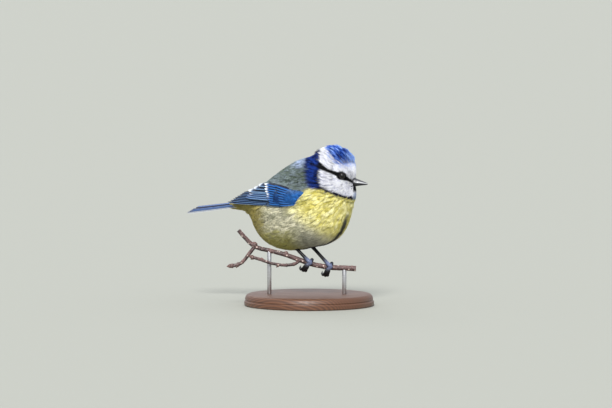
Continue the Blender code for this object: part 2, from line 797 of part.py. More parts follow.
TOES = (
    Toe("inner", -4.0, 6.0, -112.0, -148.0, 2.85, 2.1),
    Toe("middle", -2.5, 6.0, -120.0, -154.0, 2.95, 2.3),
    Toe("outer", -1.0, 6.0, -112.0, -148.0, 2.85, 2.1),
    Toe("hind", 1.3, 24.0, 158.0, 196.0, 2.75, 0.0),
)


def toe_line(toe, place, first, last, count, swell):
    """Centre points along a toe or its claw."""
    points = []
    for i in range(count):
        s = i / (count - 1)
        angle = first + (last - first) * s
        whole = (angle - toe.start) / (toe.end - toe.start)
        offset = toe.spread * min(1.0, whole) ** 0.6 if whole > 0 else 0.0
        radius = toe.radius + toe.slack * min(whole * 1.6, 1.0) + swell * s * s
        points.append(wrap_point(place + offset, math.radians(angle), radius))
    return points


def foot(label, group, helpers, toe_look, claw_look):
    """A foot: the pad and four toes joined, and a claw on each toe."""
    place = FOOT_PLACES[label]
    pad_centre = wrap_point(place, math.radians(GRIP_ANGLE), TWIG_RADIUS + GAP + PAD_REACH)
    turn = Matrix.Rotation(PERCH_TURN, 3, "Z")
    obj = ball(f"foot_{label}", pad_centre, PAD_RADII, turn, 10, 7, group)
    digits = []
    for toe in TOES:
        points = toe_line(toe, place, toe.start, toe.end, 7, 0.0)
        radii = [TOE_RADIUS * f for f in (1.25, 1.02, 1.16, 0.94, 1.1, 0.92, 0.9)]
        digits.append(tube("toe", points, radii, helpers, 1))
        ahead = (points[-1] - points[-2]).normalized()
        turn_sign = 1.0 if toe.claw_end > toe.end else -1.0
        start = toe.end + turn_sign * math.degrees(GAP / toe.radius)
        line = toe_line(toe, place, start, toe.claw_end, 6, 0.9)
        shift = points[-1] + ahead * GAP - line[0]
        line = [p + shift * (1 - i / 5) for i, p in enumerate(line)]
        claw = tube(f"claw_{label}_{toe.name}", line, (0.52, 0.5, 0.43, 0.34, 0.24, 0.12), group, 1)
        finish(claw, claw_look, 60.0)
    boolean(obj, digits, "UNION")
    boolean(obj, [leg_tube("cut", label, GAP, helpers)], "DIFFERENCE")
    largest_body(obj)
    finish(obj, toe_look)


def leg_points(label):
    """The tarsus from inside the belly down to the foot."""
    foot_top = wrap_point(FOOT_PLACES[label], math.radians(GRIP_ANGLE), TWIG_RADIUS + GAP + 1.6)
    top = LEG_TOPS[label]
    way = top - foot_top
    bow = Vector((0.35, 0.0, -0.35))
    return [foot_top + way * s + bow * math.sin(math.pi * min(s, 1.0)) for s in (0.0, 0.08, 0.3, 0.55, 0.8, 0.95, 1.35)]


def leg_tube(name, label, extra, group):
    """The tarsus, or the same thicker by extra, for a cutter."""
    radii = [TARSUS_RADIUS * f + extra for f in (1.0, 1.15, 1.0, 0.92, 0.95, 1.1, 1.2)]
    return tube(name, leg_points(label), radii, group, 2)


def leg(label, group, look):
    """A leg."""
    obj = leg_tube(f"leg_{label}", label, 0.0, group)
    finish(obj, look)


def torso(group, helpers, look):
    """The torso with a hollow for each wing and each leg."""
    planes = ((NECK_PLANE, -NECK_AXIS), (Vector((RUMP_X, 0.0, 0.0)), Vector((1.0, 0.0, 0.0))))
    obj = flesh("torso", (-6.0, 0.0, 60.0), 38, 24, Vector((1.0, 0.0, 0.0)), planes, group)
    cutters = [wing_pocket(side, helpers) for side in (-1, 1)]
    cutters += [leg_tube("cut", label, GAP, helpers) for label in ("right", "left")]
    boolean(obj, cutters, "DIFFERENCE")
    largest_body(obj)
    finish(obj, look)


def neck(group, look):
    """The collar of flesh between the torso and the head."""
    planes = ((NECK_PLANE + NECK_AXIS * GAP, NECK_AXIS), (HEAD_PLANE - NECK_AXIS * GAP, -NECK_AXIS))
    middle = (HEAD_PLANE + NECK_PLANE) / 2
    obj = flesh("neck", middle, 40, 22, NECK_AXIS, planes, group)
    finish(obj, look)


def main():
    """Build the bird, its perch and its stand."""
    clear_scene()
    parts = collection(COLLECTION)
    helpers = collection(CUTTERS, hidden=True)
    yellow = material("yellow_feathers", (0.62, 0.58, 0.22), 0.85)
    collar = material("blue_collar", (0.05, 0.09, 0.24), 0.8)
    face = material("face_feathers", (0.78, 0.80, 0.84), 0.85)
    blue = material("blue_flight_feathers", (0.09, 0.22, 0.55), 0.6)
    horn = material("bill_horn", (0.06, 0.06, 0.07), 0.4)
    eye = material("eye", (0.01, 0.008, 0.006), 0.05)
    skin = material("leg_scales", (0.17, 0.21, 0.28), 0.55)
    claw = material("claw_horn", (0.03, 0.03, 0.035), 0.35)
    bark = material("twig_bark", (0.20, 0.14, 0.11), 0.8)
    wood = material("base_wood", (0.16, 0.09, 0.05), 0.45)
    steel = material("rod_steel", (0.55, 0.55, 0.56), 0.3, 1.0)
    torso(parts, helpers, yellow)
    neck(parts, collar)
    head(parts, helpers, face)
    bill(parts, helpers, horn, horn)
    eyes(parts, eye)
    wing("right", -1, parts, helpers, blue)
    wing("left", 1, parts, helpers, blue)
    tail(parts, helpers, blue)
    for label in ("right", "left"):
        leg(label, parts, skin)
        foot(label, parts, helpers, skin, claw)
    perch(parts, helpers, bark)
    stand(parts, helpers, wood, steel)


main()
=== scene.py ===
"""Blue tit gripping a cut twig over a round base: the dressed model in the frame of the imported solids.

Sizes are millimetres until a mesh is written, where MM turns them to metres.
The bird faces +X, its left side is +Y and +Z is up.
"""

import logging
import math
from collections.abc import Callable, Sequence
from dataclasses import dataclass, field
from enum import Enum

import bmesh
import bpy
import numpy as np
from mathutils import Matrix, Vector, noise


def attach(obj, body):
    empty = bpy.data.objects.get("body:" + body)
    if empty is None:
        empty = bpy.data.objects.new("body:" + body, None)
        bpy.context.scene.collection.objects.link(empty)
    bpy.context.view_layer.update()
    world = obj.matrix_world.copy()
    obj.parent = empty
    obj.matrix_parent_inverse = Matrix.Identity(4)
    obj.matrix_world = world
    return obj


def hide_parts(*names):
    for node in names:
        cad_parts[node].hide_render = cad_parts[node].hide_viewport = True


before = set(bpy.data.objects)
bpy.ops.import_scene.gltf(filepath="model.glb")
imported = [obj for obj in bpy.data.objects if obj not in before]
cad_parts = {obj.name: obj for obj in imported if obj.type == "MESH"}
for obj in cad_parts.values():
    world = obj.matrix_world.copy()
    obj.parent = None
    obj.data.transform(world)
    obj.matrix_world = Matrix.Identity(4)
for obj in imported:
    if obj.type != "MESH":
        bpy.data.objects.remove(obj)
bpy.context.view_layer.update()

MM = 0.001
SEED = 23
FEET_CENTRE = Vector((8.0, 0.0, 24.0))
PERCH_TURN = math.radians(27.0)
ALONG = Vector((math.cos(PERCH_TURN), math.sin(PERCH_TURN), 0.0))
ACROSS = Vector((math.sin(PERCH_TURN), -math.cos(PERCH_TURN), 0.0))
UP = Vector((0.0, 0.0, 1.0))
HEAD_CENTRE = Vector((16.0, 1.0, 82.0))
HEAD_YAW = math.radians(15.0)
EYE_PLACE = (7.0, 9.65, -2.9)
EYE_RADIUS = 2.15
BILL_BASE = (13.0, 0.0, -7.6)
GAP = 0.3
COAT_DEPTH = 1.2
COLOUR = "Tint"
BAKE_MAP = "OFBake"
VANE_MAP = "Surface"
BARB_POINTS = 10
PATCH = 0.003

Array = np.ndarray
Shape = bmesh.types.BMesh
Socket = bpy.types.NodeSocket
Point = tuple[float, float, float]
Tint = Callable[[float, float], Sequence[float]]
Relief = Callable[[Vector, float, float], float]
Lie = Callable[[Array, Array, Array], tuple[Array, Array]]

log = logging.getLogger("blue_tit")


def linear(srgb: Sequence[float]) -> Array:
    """Turn a colour of 0 to 255 as a screen shows it into scene values.

    Args:
        srgb: Red, green and blue.

    Returns:
        The three linear values.
    """
    part = np.asarray(srgb, float) / 255.0
    return np.where(part <= 0.04045, part / 12.92, ((part + 0.055) / 1.055) ** 2.4)


def soft(value: Array, width: float) -> Array:
    """A smooth step from 0 to 1 as value passes from -width to width.

    Args:
        value: How far inside an edge each point is.
        width: Half the width of the edge.

    Returns:
        The share of the inner side.
    """
    t = np.clip((np.asarray(value, float) / width + 1.0) / 2.0, 0.0, 1.0)
    return t * t * (3.0 - 2.0 * t)


def unit(ways: Array) -> Array:
    """Ways in the last axis at unit length."""
    return ways / np.linalg.norm(ways, axis=-1, keepdims=True)


def mixed(base: Array, colour: Array, share: Array) -> Array:
    """Lay a colour over others.

    Args:
        base: One colour, or one a row.
        colour: The colour laid on, or one a row.
        share: How much of it each row takes.

    Returns:
        One colour a row.
    """
    return base + (colour - base) * np.asarray(share)[..., None]


def paint(shape: Shape, colour_at: Callable[[Vector], Sequence[float]]) -> None:
    """Give each point of a shape the colour that a function says for its place."""
    layer = shape.verts.layers.float_color.new(COLOUR)
    for vert in shape.verts:
        vert[layer] = (*colour_at(vert.co), 1.0)


@dataclass(frozen=True)
class Curve:
    """A smooth curve y(x) through a few points, level where they turn."""

    points: tuple[tuple[float, float], ...]

    def at(self, x: Array | float) -> Array:
        """Read the curve.

        Args:
            x: One place or many.

        Returns:
            The curve's value at each place.
        """
        knots = np.array(sorted(self.points), float)
        xs, ys = knots[:, 0], knots[:, 1]
        steps = np.diff(ys) / np.diff(xs)
        slopes = np.empty_like(ys)
        slopes[0], slopes[-1] = steps[0], steps[-1]
        product = steps[:-1] * steps[1:]
        total = steps[:-1] + steps[1:]
        slopes[1:-1] = np.where(product > 0, 2 * product / np.where(total == 0, 1, total), 0.0)
        x = np.clip(np.asarray(x, float), xs[0], xs[-1])
        i = np.clip(np.searchsorted(xs, x, side="right") - 1, 0, len(xs) - 2)
        width = xs[i + 1] - xs[i]
        t = (x - xs[i]) / width
        rise = (1 + 2 * t) * (1 - t) ** 2 * ys[i] + t * t * (3 - 2 * t) * ys[i + 1]
        return rise + width * (t * (1 - t) ** 2 * slopes[i] + t * t * (t - 1) * slopes[i + 1])


@dataclass(frozen=True)
class Blob:
    """One ellipsoid of the body form, nose up by its pitch."""

    centre: Point
    radii: Point
    pitch: float = 0.0
    yaw: float = 0.0

    def depth(self, points: Array) -> Array:
        """Roughly how far points lie outside this ellipsoid.

        Args:
            points: One point a row.

        Returns:
            One distance a row, negative inside.
        """
        turn = Matrix.Rotation(self.yaw, 3, "Z") @ Matrix.Rotation(-self.pitch, 3, "Y")
        local = (points - np.array(self.centre)) @ np.array(turn)
        radii = np.array(self.radii)
        reach = np.linalg.norm(local / radii, axis=-1)
        slope = np.linalg.norm(local / radii**2, axis=-1) / np.maximum(reach, 1e-6)
        return (reach - 1.0) / np.maximum(slope, 1e-6)


@dataclass(frozen=True)
class BodyForm:
    """The plump outline of the bird out to the tips of its coat, as blended ellipsoids."""

    blobs: tuple[Blob, ...] = (
        Blob((-6.0, 0.0, 58.6), (31.2, 22.4, 24.2), math.radians(24.0)),
        Blob((7.0, 0.0, 57.8), (17.9, 19.0, 20.6), math.radians(10.0)),
        Blob((-1.0, 0.0, 72.0), (18.0, 16.0, 15.2), math.radians(38.0)),
        Blob((12.6, 0.8, 71.5), (11.6, 12.4, 12.8), math.radians(30.0)),
        Blob((16.0, 1.0, 82.0), (13.5, 12.0, 14.1), math.radians(-10.0), HEAD_YAW),
        Blob((21.0, 2.4, 67.8), (7.6, 7.6, 8.0), 0.0, HEAD_YAW),
        Blob((-29.0, 0.0, 61.0), (12.5, 11.0, 8.4), math.radians(8.0)),
        Blob((-38.5, 0.0, 60.6), (16.5, 5.4, 3.7), math.radians(8.0)),
    )
    blend: float = 0.42
    deepest: float = 60.0
    centre: Point = (2.0, 0.0, 65.0)

    def distance(self, points: Array) -> Array:
        """Roughly the distance from the form.

        Args:
            points: Points in the last axis.

        Returns:
            Distances, negative inside.
        """
        total = sum(np.exp(-self.blend * np.maximum(b.depth(points), -self.deepest)) for b in self.blobs)
        return -np.log(np.maximum(total, 1e-300)) / self.blend

    def normal(self, points: Array) -> Array:
        """The way out of the form at points.

        Args:
            points: Points in the last axis.

        Returns:
            Unit directions.
        """
        step = 0.05
        slope = np.stack([
            self.distance(points + step * axis) - self.distance(points - step * axis) for axis in np.eye(3)
        ], axis=-1)
        return unit(slope)

    def settle(self, points: Array, level: Array | float) -> Array:
        """Move points along the way out until they lie at a level.

        Args:
            points: Points in the last axis.
            level: Distance from the form to end at.

        Returns:
            The moved points.
        """
        for _ in range(2):
            points = points + self.normal(points) * (level - self.distance(points))[..., None]
        return points

    def cast(self, directions: Array, level: float, reach: float = 75.0) -> Array:
        """Where rays from the centre last pass a level of the form.

        Args:
            directions: One unit direction a row.
            level: Distance from the form.
            reach: Where each ray starts, beyond the form.

        Returns:
            One point a row.
        """
        start = np.array(self.centre)
        far = np.zeros(len(directions))
        near = np.full(len(directions), reach)
        for distance in np.linspace(reach, 0.0, 48):
            inside = (far == 0) & (self.distance(start + directions * distance) < level)
            far[inside] = distance
            near[inside] = distance + reach / 47
        for _ in range(14):
            middle = (far + near) / 2
            inside = self.distance(start + directions * middle[:, None]) < level
            far = np.where(inside, middle, far)
            near = np.where(inside, near, middle)
        return start + directions * far[:, None]


@dataclass(frozen=True)
class HeadFrame:
    """The head's own axes: forward, to its right and up."""

    centre: Vector = HEAD_CENTRE
    yaw: float = HEAD_YAW

    @property
    def axes(self) -> Array:
        """The three axes as rows."""
        return np.array([
            (math.cos(self.yaw), math.sin(self.yaw), 0.0),
            (math.sin(self.yaw), -math.cos(self.yaw), 0.0),
            (0.0, 0.0, 1.0),
        ])

    def place(self, local: Sequence[float]) -> Vector:
        """A point of the head in the bird's frame."""
        return self.centre + Vector(np.array(local) @ self.axes)

    def way(self, local: Sequence[float]) -> Vector:
        """A unit direction of the head in the bird's frame."""
        return Vector(np.array(local) @ self.axes).normalized()

    def local(self, points: Array) -> Array:
        """Points in the head's axes."""
        return (points - np.array(self.centre)) @ self.axes.T

    def eye(self, side: int) -> tuple[Vector, Vector]:
        """The middle of an eye and the way that it looks; side is 1 for the right one, -1 for the left."""
        forward, out, up = EYE_PLACE
        return self.place((forward, side * out, up)), self.way((0.30, side, 0.05))


class Hue(Enum):
    """The plumage colours, as a screen shows them."""

    CAP = (42, 92, 200)
    CAP_DARK = (20, 38, 104)
    CAP_PALE = (146, 180, 236)
    WHITE = (246, 247, 255)
    WHITE_DIM = (186, 190, 214)
    STRIPE = (4, 5, 12)
    COLLAR = (34, 74, 176)
    COLLAR_DARK = (8, 14, 48)
    NAPE = (168, 184, 214)
    MANTLE = (98, 112, 92)
    MANTLE_GREY = (122, 134, 140)
    RUMP = (92, 120, 130)
    BREAST = (226, 216, 118)
    BREAST_PALE = (248, 244, 198)
    FLANK = (236, 232, 206)
    FLANK_GREY = (156, 156, 134)
    # LOW_BELLY and LOW_GREY darken the bottom of the belly, partly as painted shade.
    LOW_BELLY = (172, 166, 74)
    LOW_GREY = (160, 160, 148)
    VENT = (170, 158, 92)
    BELLY_LINE = (34, 38, 56)
    COVERT_FRONT = (44, 112, 186)
    COVERT_REAR = (26, 60, 112)
    WING_BLUE = (42, 78, 140)
    WING_DARK = (16, 22, 42)
    TERTIAL = (58, 84, 118)
    EDGE_BLUE = (126, 160, 196)
    EDGE_WHITE = (226, 232, 240)
    TAIL_BLUE = (18, 50, 124)

    @property
    def value(self) -> Array:
        """The linear colour."""
        return linear(self._value_)


@dataclass(frozen=True)
class Plumage:
    """The bird's markings, as colours over its form.

    On the head, the collar's two lines are places ahead of its centre at each height, and the other lines
    are heights over its centre at each place ahead. A number called wander, from about -1 to 1 for each
    feather, makes the edges ragged and the colours uneven.
    """

    head: HeadFrame = HeadFrame()
    stripe_line: Curve = Curve((
        (13.5, -7.4), (12.1, -6.7), (9.8, -4.7), (7.1, -3.2), (3.4, -1.4), (-1.1, 0.3), (-6.0, 3.2),
    ))
    stripe_half: Curve = Curve((
        (13.5, 0.6), (11.0, 0.95), (7.1, 2.0), (4.0, 1.25), (-1.0, 1.0), (-4.0, 1.5), (-6.0, 1.9),
        (-9.0, 0.6),
    ))
    cap_line: Curve = Curve((
        (14.0, 2.2), (9.8, 2.3), (5.4, 4.3), (2.0, 6.8), (-1.2, 10.2), (-3.9, 13.6), (-8.0, 18.0),
    ))
    collar_front: Curve = Curve((
        (12.0, -7.6), (9.8, -7.7), (3.6, -6.4), (-2.9, -6.1), (-9.3, -5.1), (-13.0, -4.6),
    ))
    collar_back: Curve = Curve((
        (12.0, -17.0), (9.1, -17.6), (3.3, -15.8), (-3.0, -14.7), (-9.3, -12.2), (-12.0, -9.5),
    ))
    cheek_low: Curve = Curve((
        (-9.0, -9.2), (-5.5, -9.9), (-3.6, -10.6), (0.2, -12.4), (4.3, -14.2), (8.8, -16.0), (12.5, -16.8),
    ))
    wing_line: Curve = Curve((
        (-60.0, 60.0), (-40.0, 62.0), (-20.0, 66.0), (4.0, 66.0), (7.0, 70.0), (9.5, 73.0), (14.0, 75.0),
    ))
    nape: tuple[float, float] = (-1.5, 86.5)
    nape_size: tuple[float, float] = (5.0, 3.6)
    rump_from: float = -26.0
    vent_from: float = -24.0
    yellow_height: float = 61.0
    low_belly_height: float = 44.0
    line_half: float = 2.3
    line_top: float = 53.5
    collar_low: float = -10.6
    eye_ring: float = 2.6
    chin_half: float = 3.6
    chin_top: float = -8.6
    chin_low: float = -13.0
    throat_half: float = 3.4
    throat_low: float = -17.4

    def back(self, points: Array, wander: Array) -> Array:
        """Colours of the back, the rump and the pale nape.

        Args:
            points: Points in the last axis.
            wander: The unevenness of each.

        Returns:
            One colour a point.
        """
        x, z = points[..., 0], points[..., 2]
        grey = np.clip(0.4 + 0.6 * wander + 0.3 * soft(78.0 - z, 5.0), 0, 1)
        made = mixed(Hue.MANTLE.value, Hue.MANTLE_GREY.value, grey)
        made = mixed(made, Hue.RUMP.value, soft(self.rump_from - x + 3 * wander, 8.0))
        off = ((x - self.nape[0]) / self.nape_size[0]) ** 2 + ((z - self.nape[1]) / self.nape_size[1]) ** 2
        nape = np.exp(-off)
        return mixed(made, Hue.NAPE.value, np.clip(0.9 * nape + 0.4 * nape * wander, 0, 1))

    def under(self, points: Array, wander: Array) -> Array:
        """Colours of the breast, the flanks, and the belly with the dark line down its middle.

        The olive and grey towards the bottom of the belly are partly painted shade.

        Args:
            points: Points in the last axis.
            wander: The unevenness of each.

        Returns:
            One colour a point.
        """
        x, y, z = points[..., 0], points[..., 1], points[..., 2]
        grey = soft(wander - 0.2, 0.7) * (0.45 + 0.55 * soft(8.0 - x, 14.0))
        made = mixed(Hue.FLANK.value, Hue.FLANK_GREY.value, grey)
        yellow = mixed(Hue.BREAST.value, Hue.BREAST_PALE.value, np.clip(0.28 + 0.6 * wander, 0, 1))
        made = mixed(made, yellow, soft(x + 0.9 * (z - self.yellow_height) + 1.5 + 4.5 * wander, 7.5))
        # Partly painted shade: darker olive and grey towards the bottom of the belly, which faces away from
        # the light.
        low = 0.8 * soft(self.low_belly_height - z + 3.5 * wander, 7.0)
        made = mixed(made, Hue.LOW_BELLY.value, low * soft(2.0 - x, 9.0))
        made = mixed(made, Hue.LOW_GREY.value, low * soft(x + 3.0, 7.0) * soft(13.0 - x, 5.0))
        made = mixed(made, Hue.VENT.value, soft(self.vent_from - x + 2 * wander, 7.0))
        line = soft(self.line_half + 0.9 * wander - np.abs(y + 0.8), 1.2)
        line = line * soft(self.line_top - z + 2 * wander, 2.5) * soft(x + 4.0, 10.0)
        return mixed(made, Hue.BELLY_LINE.value, 0.92 * line)

    def colour(self, points: Array, wander: Array) -> Array:
        """Colours anywhere on the bird's body and head.

        Args:
            points: Points in the last axis.
            wander: The unevenness of each.

        Returns:
            One linear colour a point.
        """
        below_wing = soft(self.wing_line.at(points[..., 0]) - points[..., 2] + 1.2 * wander, 1.6)
        made = mixed(self.back(points, wander), self.under(points, wander), below_wing)
        local = self.head.local(points)
        f, r, u = local[..., 0], np.abs(local[..., 1]), local[..., 2]
        made = self.cap_and_collar(made, f, u, wander)
        return self.lines(made, f, r, u, wander)

    def cap_and_collar(self, made: Array, f: Array, u: Array, wander: Array) -> Array:
        """Lay the white face, the blue cap and the dark collar over the body's colours.

        Args:
            made: The colours so far.
            f: Places ahead of the head's centre.
            u: Heights over it.
            wander: The unevenness of each.

        Returns:
            The new colours.
        """
        ragged = 0.35 * wander
        front = self.collar_front.at(u)
        face = soft(f - front + 2.2 * ragged, 0.6) * soft(u - self.cheek_low.at(f) + 0.5 * wander, 0.5)
        white = mixed(Hue.WHITE.value, Hue.WHITE_DIM.value, np.clip(-wander - 0.3, 0, 1))
        made = mixed(made, white, face)
        brow = soft(f - 7.0, 3.0)
        cap = soft(u - self.cap_line.at(f) + 6.5 * ragged - 1.2 * brow, 1.3 + 1.2 * brow)
        blue = mixed(Hue.CAP.value, Hue.CAP_DARK.value, soft(-wander - 0.15, 0.4))
        pale = 0.55 * soft(f - 9.5, 3.5) + soft(wander - 0.5, 0.35)
        blue = mixed(blue, Hue.CAP_PALE.value, np.clip(pale, 0, 1))
        made = mixed(made, blue, cap * soft(f + 7.5, 1.0))
        collar = soft(front - f - 2.2 * ragged, 0.6) * soft(f - self.collar_back.at(u) + 1.6 * wander, 1.6)
        collar = collar * soft(u - self.collar_low + ragged, 0.9)
        dark = 0.42 + 0.75 * wander + 0.3 * soft(f - front + 2.0, 1.6)
        navy = mixed(Hue.COLLAR.value, Hue.COLLAR_DARK.value, np.clip(dark, 0, 1))
        return mixed(made, navy, collar)

    def lines(self, made: Array, f: Array, r: Array, u: Array, wander: Array) -> Array:
        """Lay on the stripe through the eye, the line under the cheek, the throat and the chin.

        Args:
            made: The colours so far.
            f: Places ahead of the head's centre.
            r: Distances to either side of it.
            u: Heights over it.
            wander: The unevenness of each.

        Returns:
            The new colours.
        """
        ragged = 0.35 * wander
        stripe = soft(self.stripe_half.at(f) - np.abs(u - self.stripe_line.at(f)) + 0.5 * ragged, 0.28)
        stripe = stripe * soft(f + 8.5, 2.0) * soft(r - 0.6 * (f - 11.0), 0.6)
        made = mixed(made, Hue.STRIPE.value, stripe)
        eye = np.hypot((f - EYE_PLACE[0] + 0.2) / 1.06, (u - EYE_PLACE[2]) / 0.92)
        ring = soft(self.eye_ring - eye + 0.5 * ragged, 0.3) * soft(r - 6.0, 1.0)
        made = mixed(made, Hue.STRIPE.value, ring)
        thick = 0.75 + 0.25 * soft(f - 6.0, 4.0)
        line = soft(thick - np.abs(u - self.cheek_low.at(f) - 0.2) + 0.8 * wander, 0.4) * soft(f + 6.5, 1.0)
        made = mixed(made, Hue.COLLAR_DARK.value, line)
        throat = soft(self.throat_half - r, 1.2) * soft(-13.4 - u, 1.0) * soft(u - self.throat_low, 1.0)
        made = mixed(made, Hue.NAPE.value, 0.8 * throat * soft(f - 6.0, 2.0))
        chin = soft(self.chin_half + ragged - r, 0.8) * soft(self.chin_top - u, 0.6)
        chin = chin * soft(u - self.chin_low + ragged, 1.0) * soft(f - 7.0, 1.0)
        return mixed(made, Hue.STRIPE.value, chin)

    def covert(self, points: Array, wander: Array) -> Array:
        """Colours of the small blue feathers at the bend of the wing.

        Args:
            points: Points in the last axis.
            wander: The unevenness of each.

        Returns:
            One linear colour a point.
        """
        front = np.clip(soft(points[..., 0] + 0.5, 9.0) + 0.35 * wander, 0, 1)
        made = mixed(Hue.COVERT_REAR.value, Hue.COVERT_FRONT.value, front)
        return mixed(made, Hue.MANTLE_GREY.value, 0.35 * soft(points[..., 2] - 69.5 + wander, 2.0))


@dataclass(frozen=True)
class WingSurface:
    """The curved sheet that a folded wing's feathers lie on."""

    form: BodyForm = BodyForm()
    mid: Curve = Curve(((9, 66.6), (0, 66.4), (-18, 66.6), (-30, 66.0), (-42, 64.2), (-52, 62.2)))
    half: Curve = Curve(((9, 1.8), (6, 4.2), (0, 5.8), (-18, 6.6), (-30, 5.4), (-42, 3.0), (-52, 1.4)))
    lean: Curve = Curve(((9, 0.15), (-10, 0.25), (-25, 0.4), (-40, 0.75), (-52, 0.8)))
    bulge: Curve = Curve(((9, 0.03), (-20, 0.024), (-35, 0.02), (-52, 0.0)))
    pad_lift: Curve = Curve(((10, -0.8), (7, 0.9), (3, 1.9), (-2, 2.3), (-7, 2.3), (-14, 2.0), (-20, 1.0)))
    rear: tuple[tuple[float, float], ...] = ((-24, 16.4), (-32, 12.9), (-40, 10.0), (-47, 7.9), (-52, 6.4))
    proud: float = 0.4

    def out_curve(self) -> Curve:
        """The sheet's distance from the bird's middle along its mid line."""
        ahead = []
        for x in (9.0, 4.0, -2.0, -9.0, -16.0):
            low, high = 5.0, 40.0
            for _ in range(24):
                y = (low + high) / 2
                inside = self.form.distance(np.array([[x, y, float(self.mid.at(x))]]))[0] < 0
                low, high = (y, high) if inside else (low, y)
            ahead.append((x, low + self.proud))
        return Curve(tuple(ahead) + self.rear)

    def pad(self, x: Array, rise: Array) -> Array:
        """How high the flesh and the roots of the coverts stand off the sheet at the bend of the wing.

        Args:
            x: Place along the bird.
            rise: Height over the mid line.

        Returns:
            Heights, negative at the edges.
        """
        share = np.clip(np.abs(rise) / self.half.at(x), 0.0, 1.2)
        return self.pad_lift.at(x) - (self.pad_lift.at(x) + 0.6) * share**3

    def place(self, out: Curve, x: Array, rise: Array, lift: Array, side: int) -> tuple[Array, Array]:
        """Points off the sheet.

        Args:
            out: The curve from out_curve.
            x: Place along the bird.
            rise: Height over the mid line, along the sheet.
            lift: Height off the sheet.
            side: 1 for the left wing, -1 for the right.

        Returns:
            The points and the way out at each.
        """
        def sheet(a: Array, b: Array) -> Array:
            """Points of the sheet at places and heights."""
            y = out.at(a) - self.lean.at(a) * b - self.bulge.at(a) * b * b
            return np.stack([a, side * y, self.mid.at(a) + b], axis=-1)

        step = 0.05
        along = sheet(x + step, rise) - sheet(x - step, rise)
        upward = sheet(x, rise + step) - sheet(x, rise - step)
        normal = unit(np.cross(along, upward))
        normal *= np.sign(normal[..., 1:2]) * side
        return sheet(x, rise) + normal * np.asarray(lift)[..., None], normal


def put(name: str, mesh: bpy.types.Mesh, finish: bpy.types.Material,
        stands_for: Sequence[str] = ()) -> bpy.types.Object:
    """Link a finished mesh as a piece that rides on the root.

    Args:
        name: The piece's name.
        mesh: Its mesh, in metres and in place.
        finish: Its material.
        stands_for: The solids that it stands for.

    Returns:
        The new object.
    """
    obj = bpy.data.objects.new(name, mesh)
    mesh.materials.append(finish)
    bpy.context.scene.collection.objects.link(obj)
    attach(obj, "root")
    if stands_for:
        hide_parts(*stands_for)
    log.info("%s: %d faces", name, len(mesh.polygons))
    return obj


def mesh_from(name: str, shapes: Sequence[Shape], sharp: float = 60.0) -> bpy.types.Mesh:
    """Join shapes in millimetres into one mesh in metres.

    Args:
        name: The mesh's name.
        shapes: The shapes, which are freed.
        sharp: Edges that bend more than this, in degrees, stay sharp.

    Returns:
        The mesh, smooth shaded.
    """
    whole = bmesh.new()
    for shape in shapes:
        part = bpy.data.meshes.new("part")
        shape.to_mesh(part)
        shape.free()
        whole.from_mesh(part)
        bpy.data.meshes.remove(part)
    bmesh.ops.scale(whole, vec=(MM, MM, MM), verts=whole.verts)
    mesh = bpy.data.meshes.new(name)
    whole.to_mesh(mesh)
    whole.free()
    mesh.shade_smooth()
    mesh.set_sharp_from_angle(angle=math.radians(sharp))
    return mesh


def shaped(name: str, shapes: Sequence[Shape], finish: bpy.types.Material,
           stands_for: Sequence[str] = (), sharp: float = 60.0) -> bpy.types.Object:
    """Join shapes as a piece.

    Args:
        name: The piece's name.
        shapes: The shapes, which are freed.
        finish: Its material.
        stands_for: The solids that it stands for.
        sharp: Edges that bend more than this, in degrees, stay sharp.

    Returns:
        The new object.
    """
    return put(name, mesh_from(name, shapes, sharp), finish, stands_for)


def lattice(columns: int, rows: int, place: Tint, tint: Tint, wrap: bool = False,
            thickness: float = 0.0) -> Shape:
    """A grid whose points go where a function says, with a colour and a UV map.

    Args:
        columns: Steps across, or round when wrapped.
        rows: Steps along.
        place: The point at (across, along), each from 0 to 1.
        tint: The colour there.
        wrap: Whether the sheet closes round into a tube with filled ends.
        thickness: The thickness that an open sheet is given.

    Returns:
        The shape.
    """
    shape = bmesh.new()
    bmesh.ops.create_grid(shape, x_segments=columns, y_segments=rows, size=0.5)
    colour = shape.verts.layers.float_color.new(COLOUR)
    uv = shape.loops.layers.uv.new(VANE_MAP)
    for face in shape.faces:
        for loop in face.loops:
            loop[uv].uv = (loop.vert.co.x + 0.5, loop.vert.co.y + 0.5)
    for vert in shape.verts:
        across, along = vert.co.x + 0.5, vert.co.y + 0.5
        vert.co = place(across, along)
        vert[colour] = (*tint(across, along), 1.0)
    if wrap:
        bmesh.ops.remove_doubles(shape, verts=shape.verts, dist=1e-4)
        bmesh.ops.holes_fill(shape, edges=[e for e in shape.edges if e.is_boundary])
    bmesh.ops.recalc_face_normals(shape, faces=shape.faces)
    if thickness:
        bmesh.ops.solidify(shape, geom=shape.faces[:], thickness=thickness)
        bmesh.ops.recalc_face_normals(shape, faces=shape.faces)
    return shape


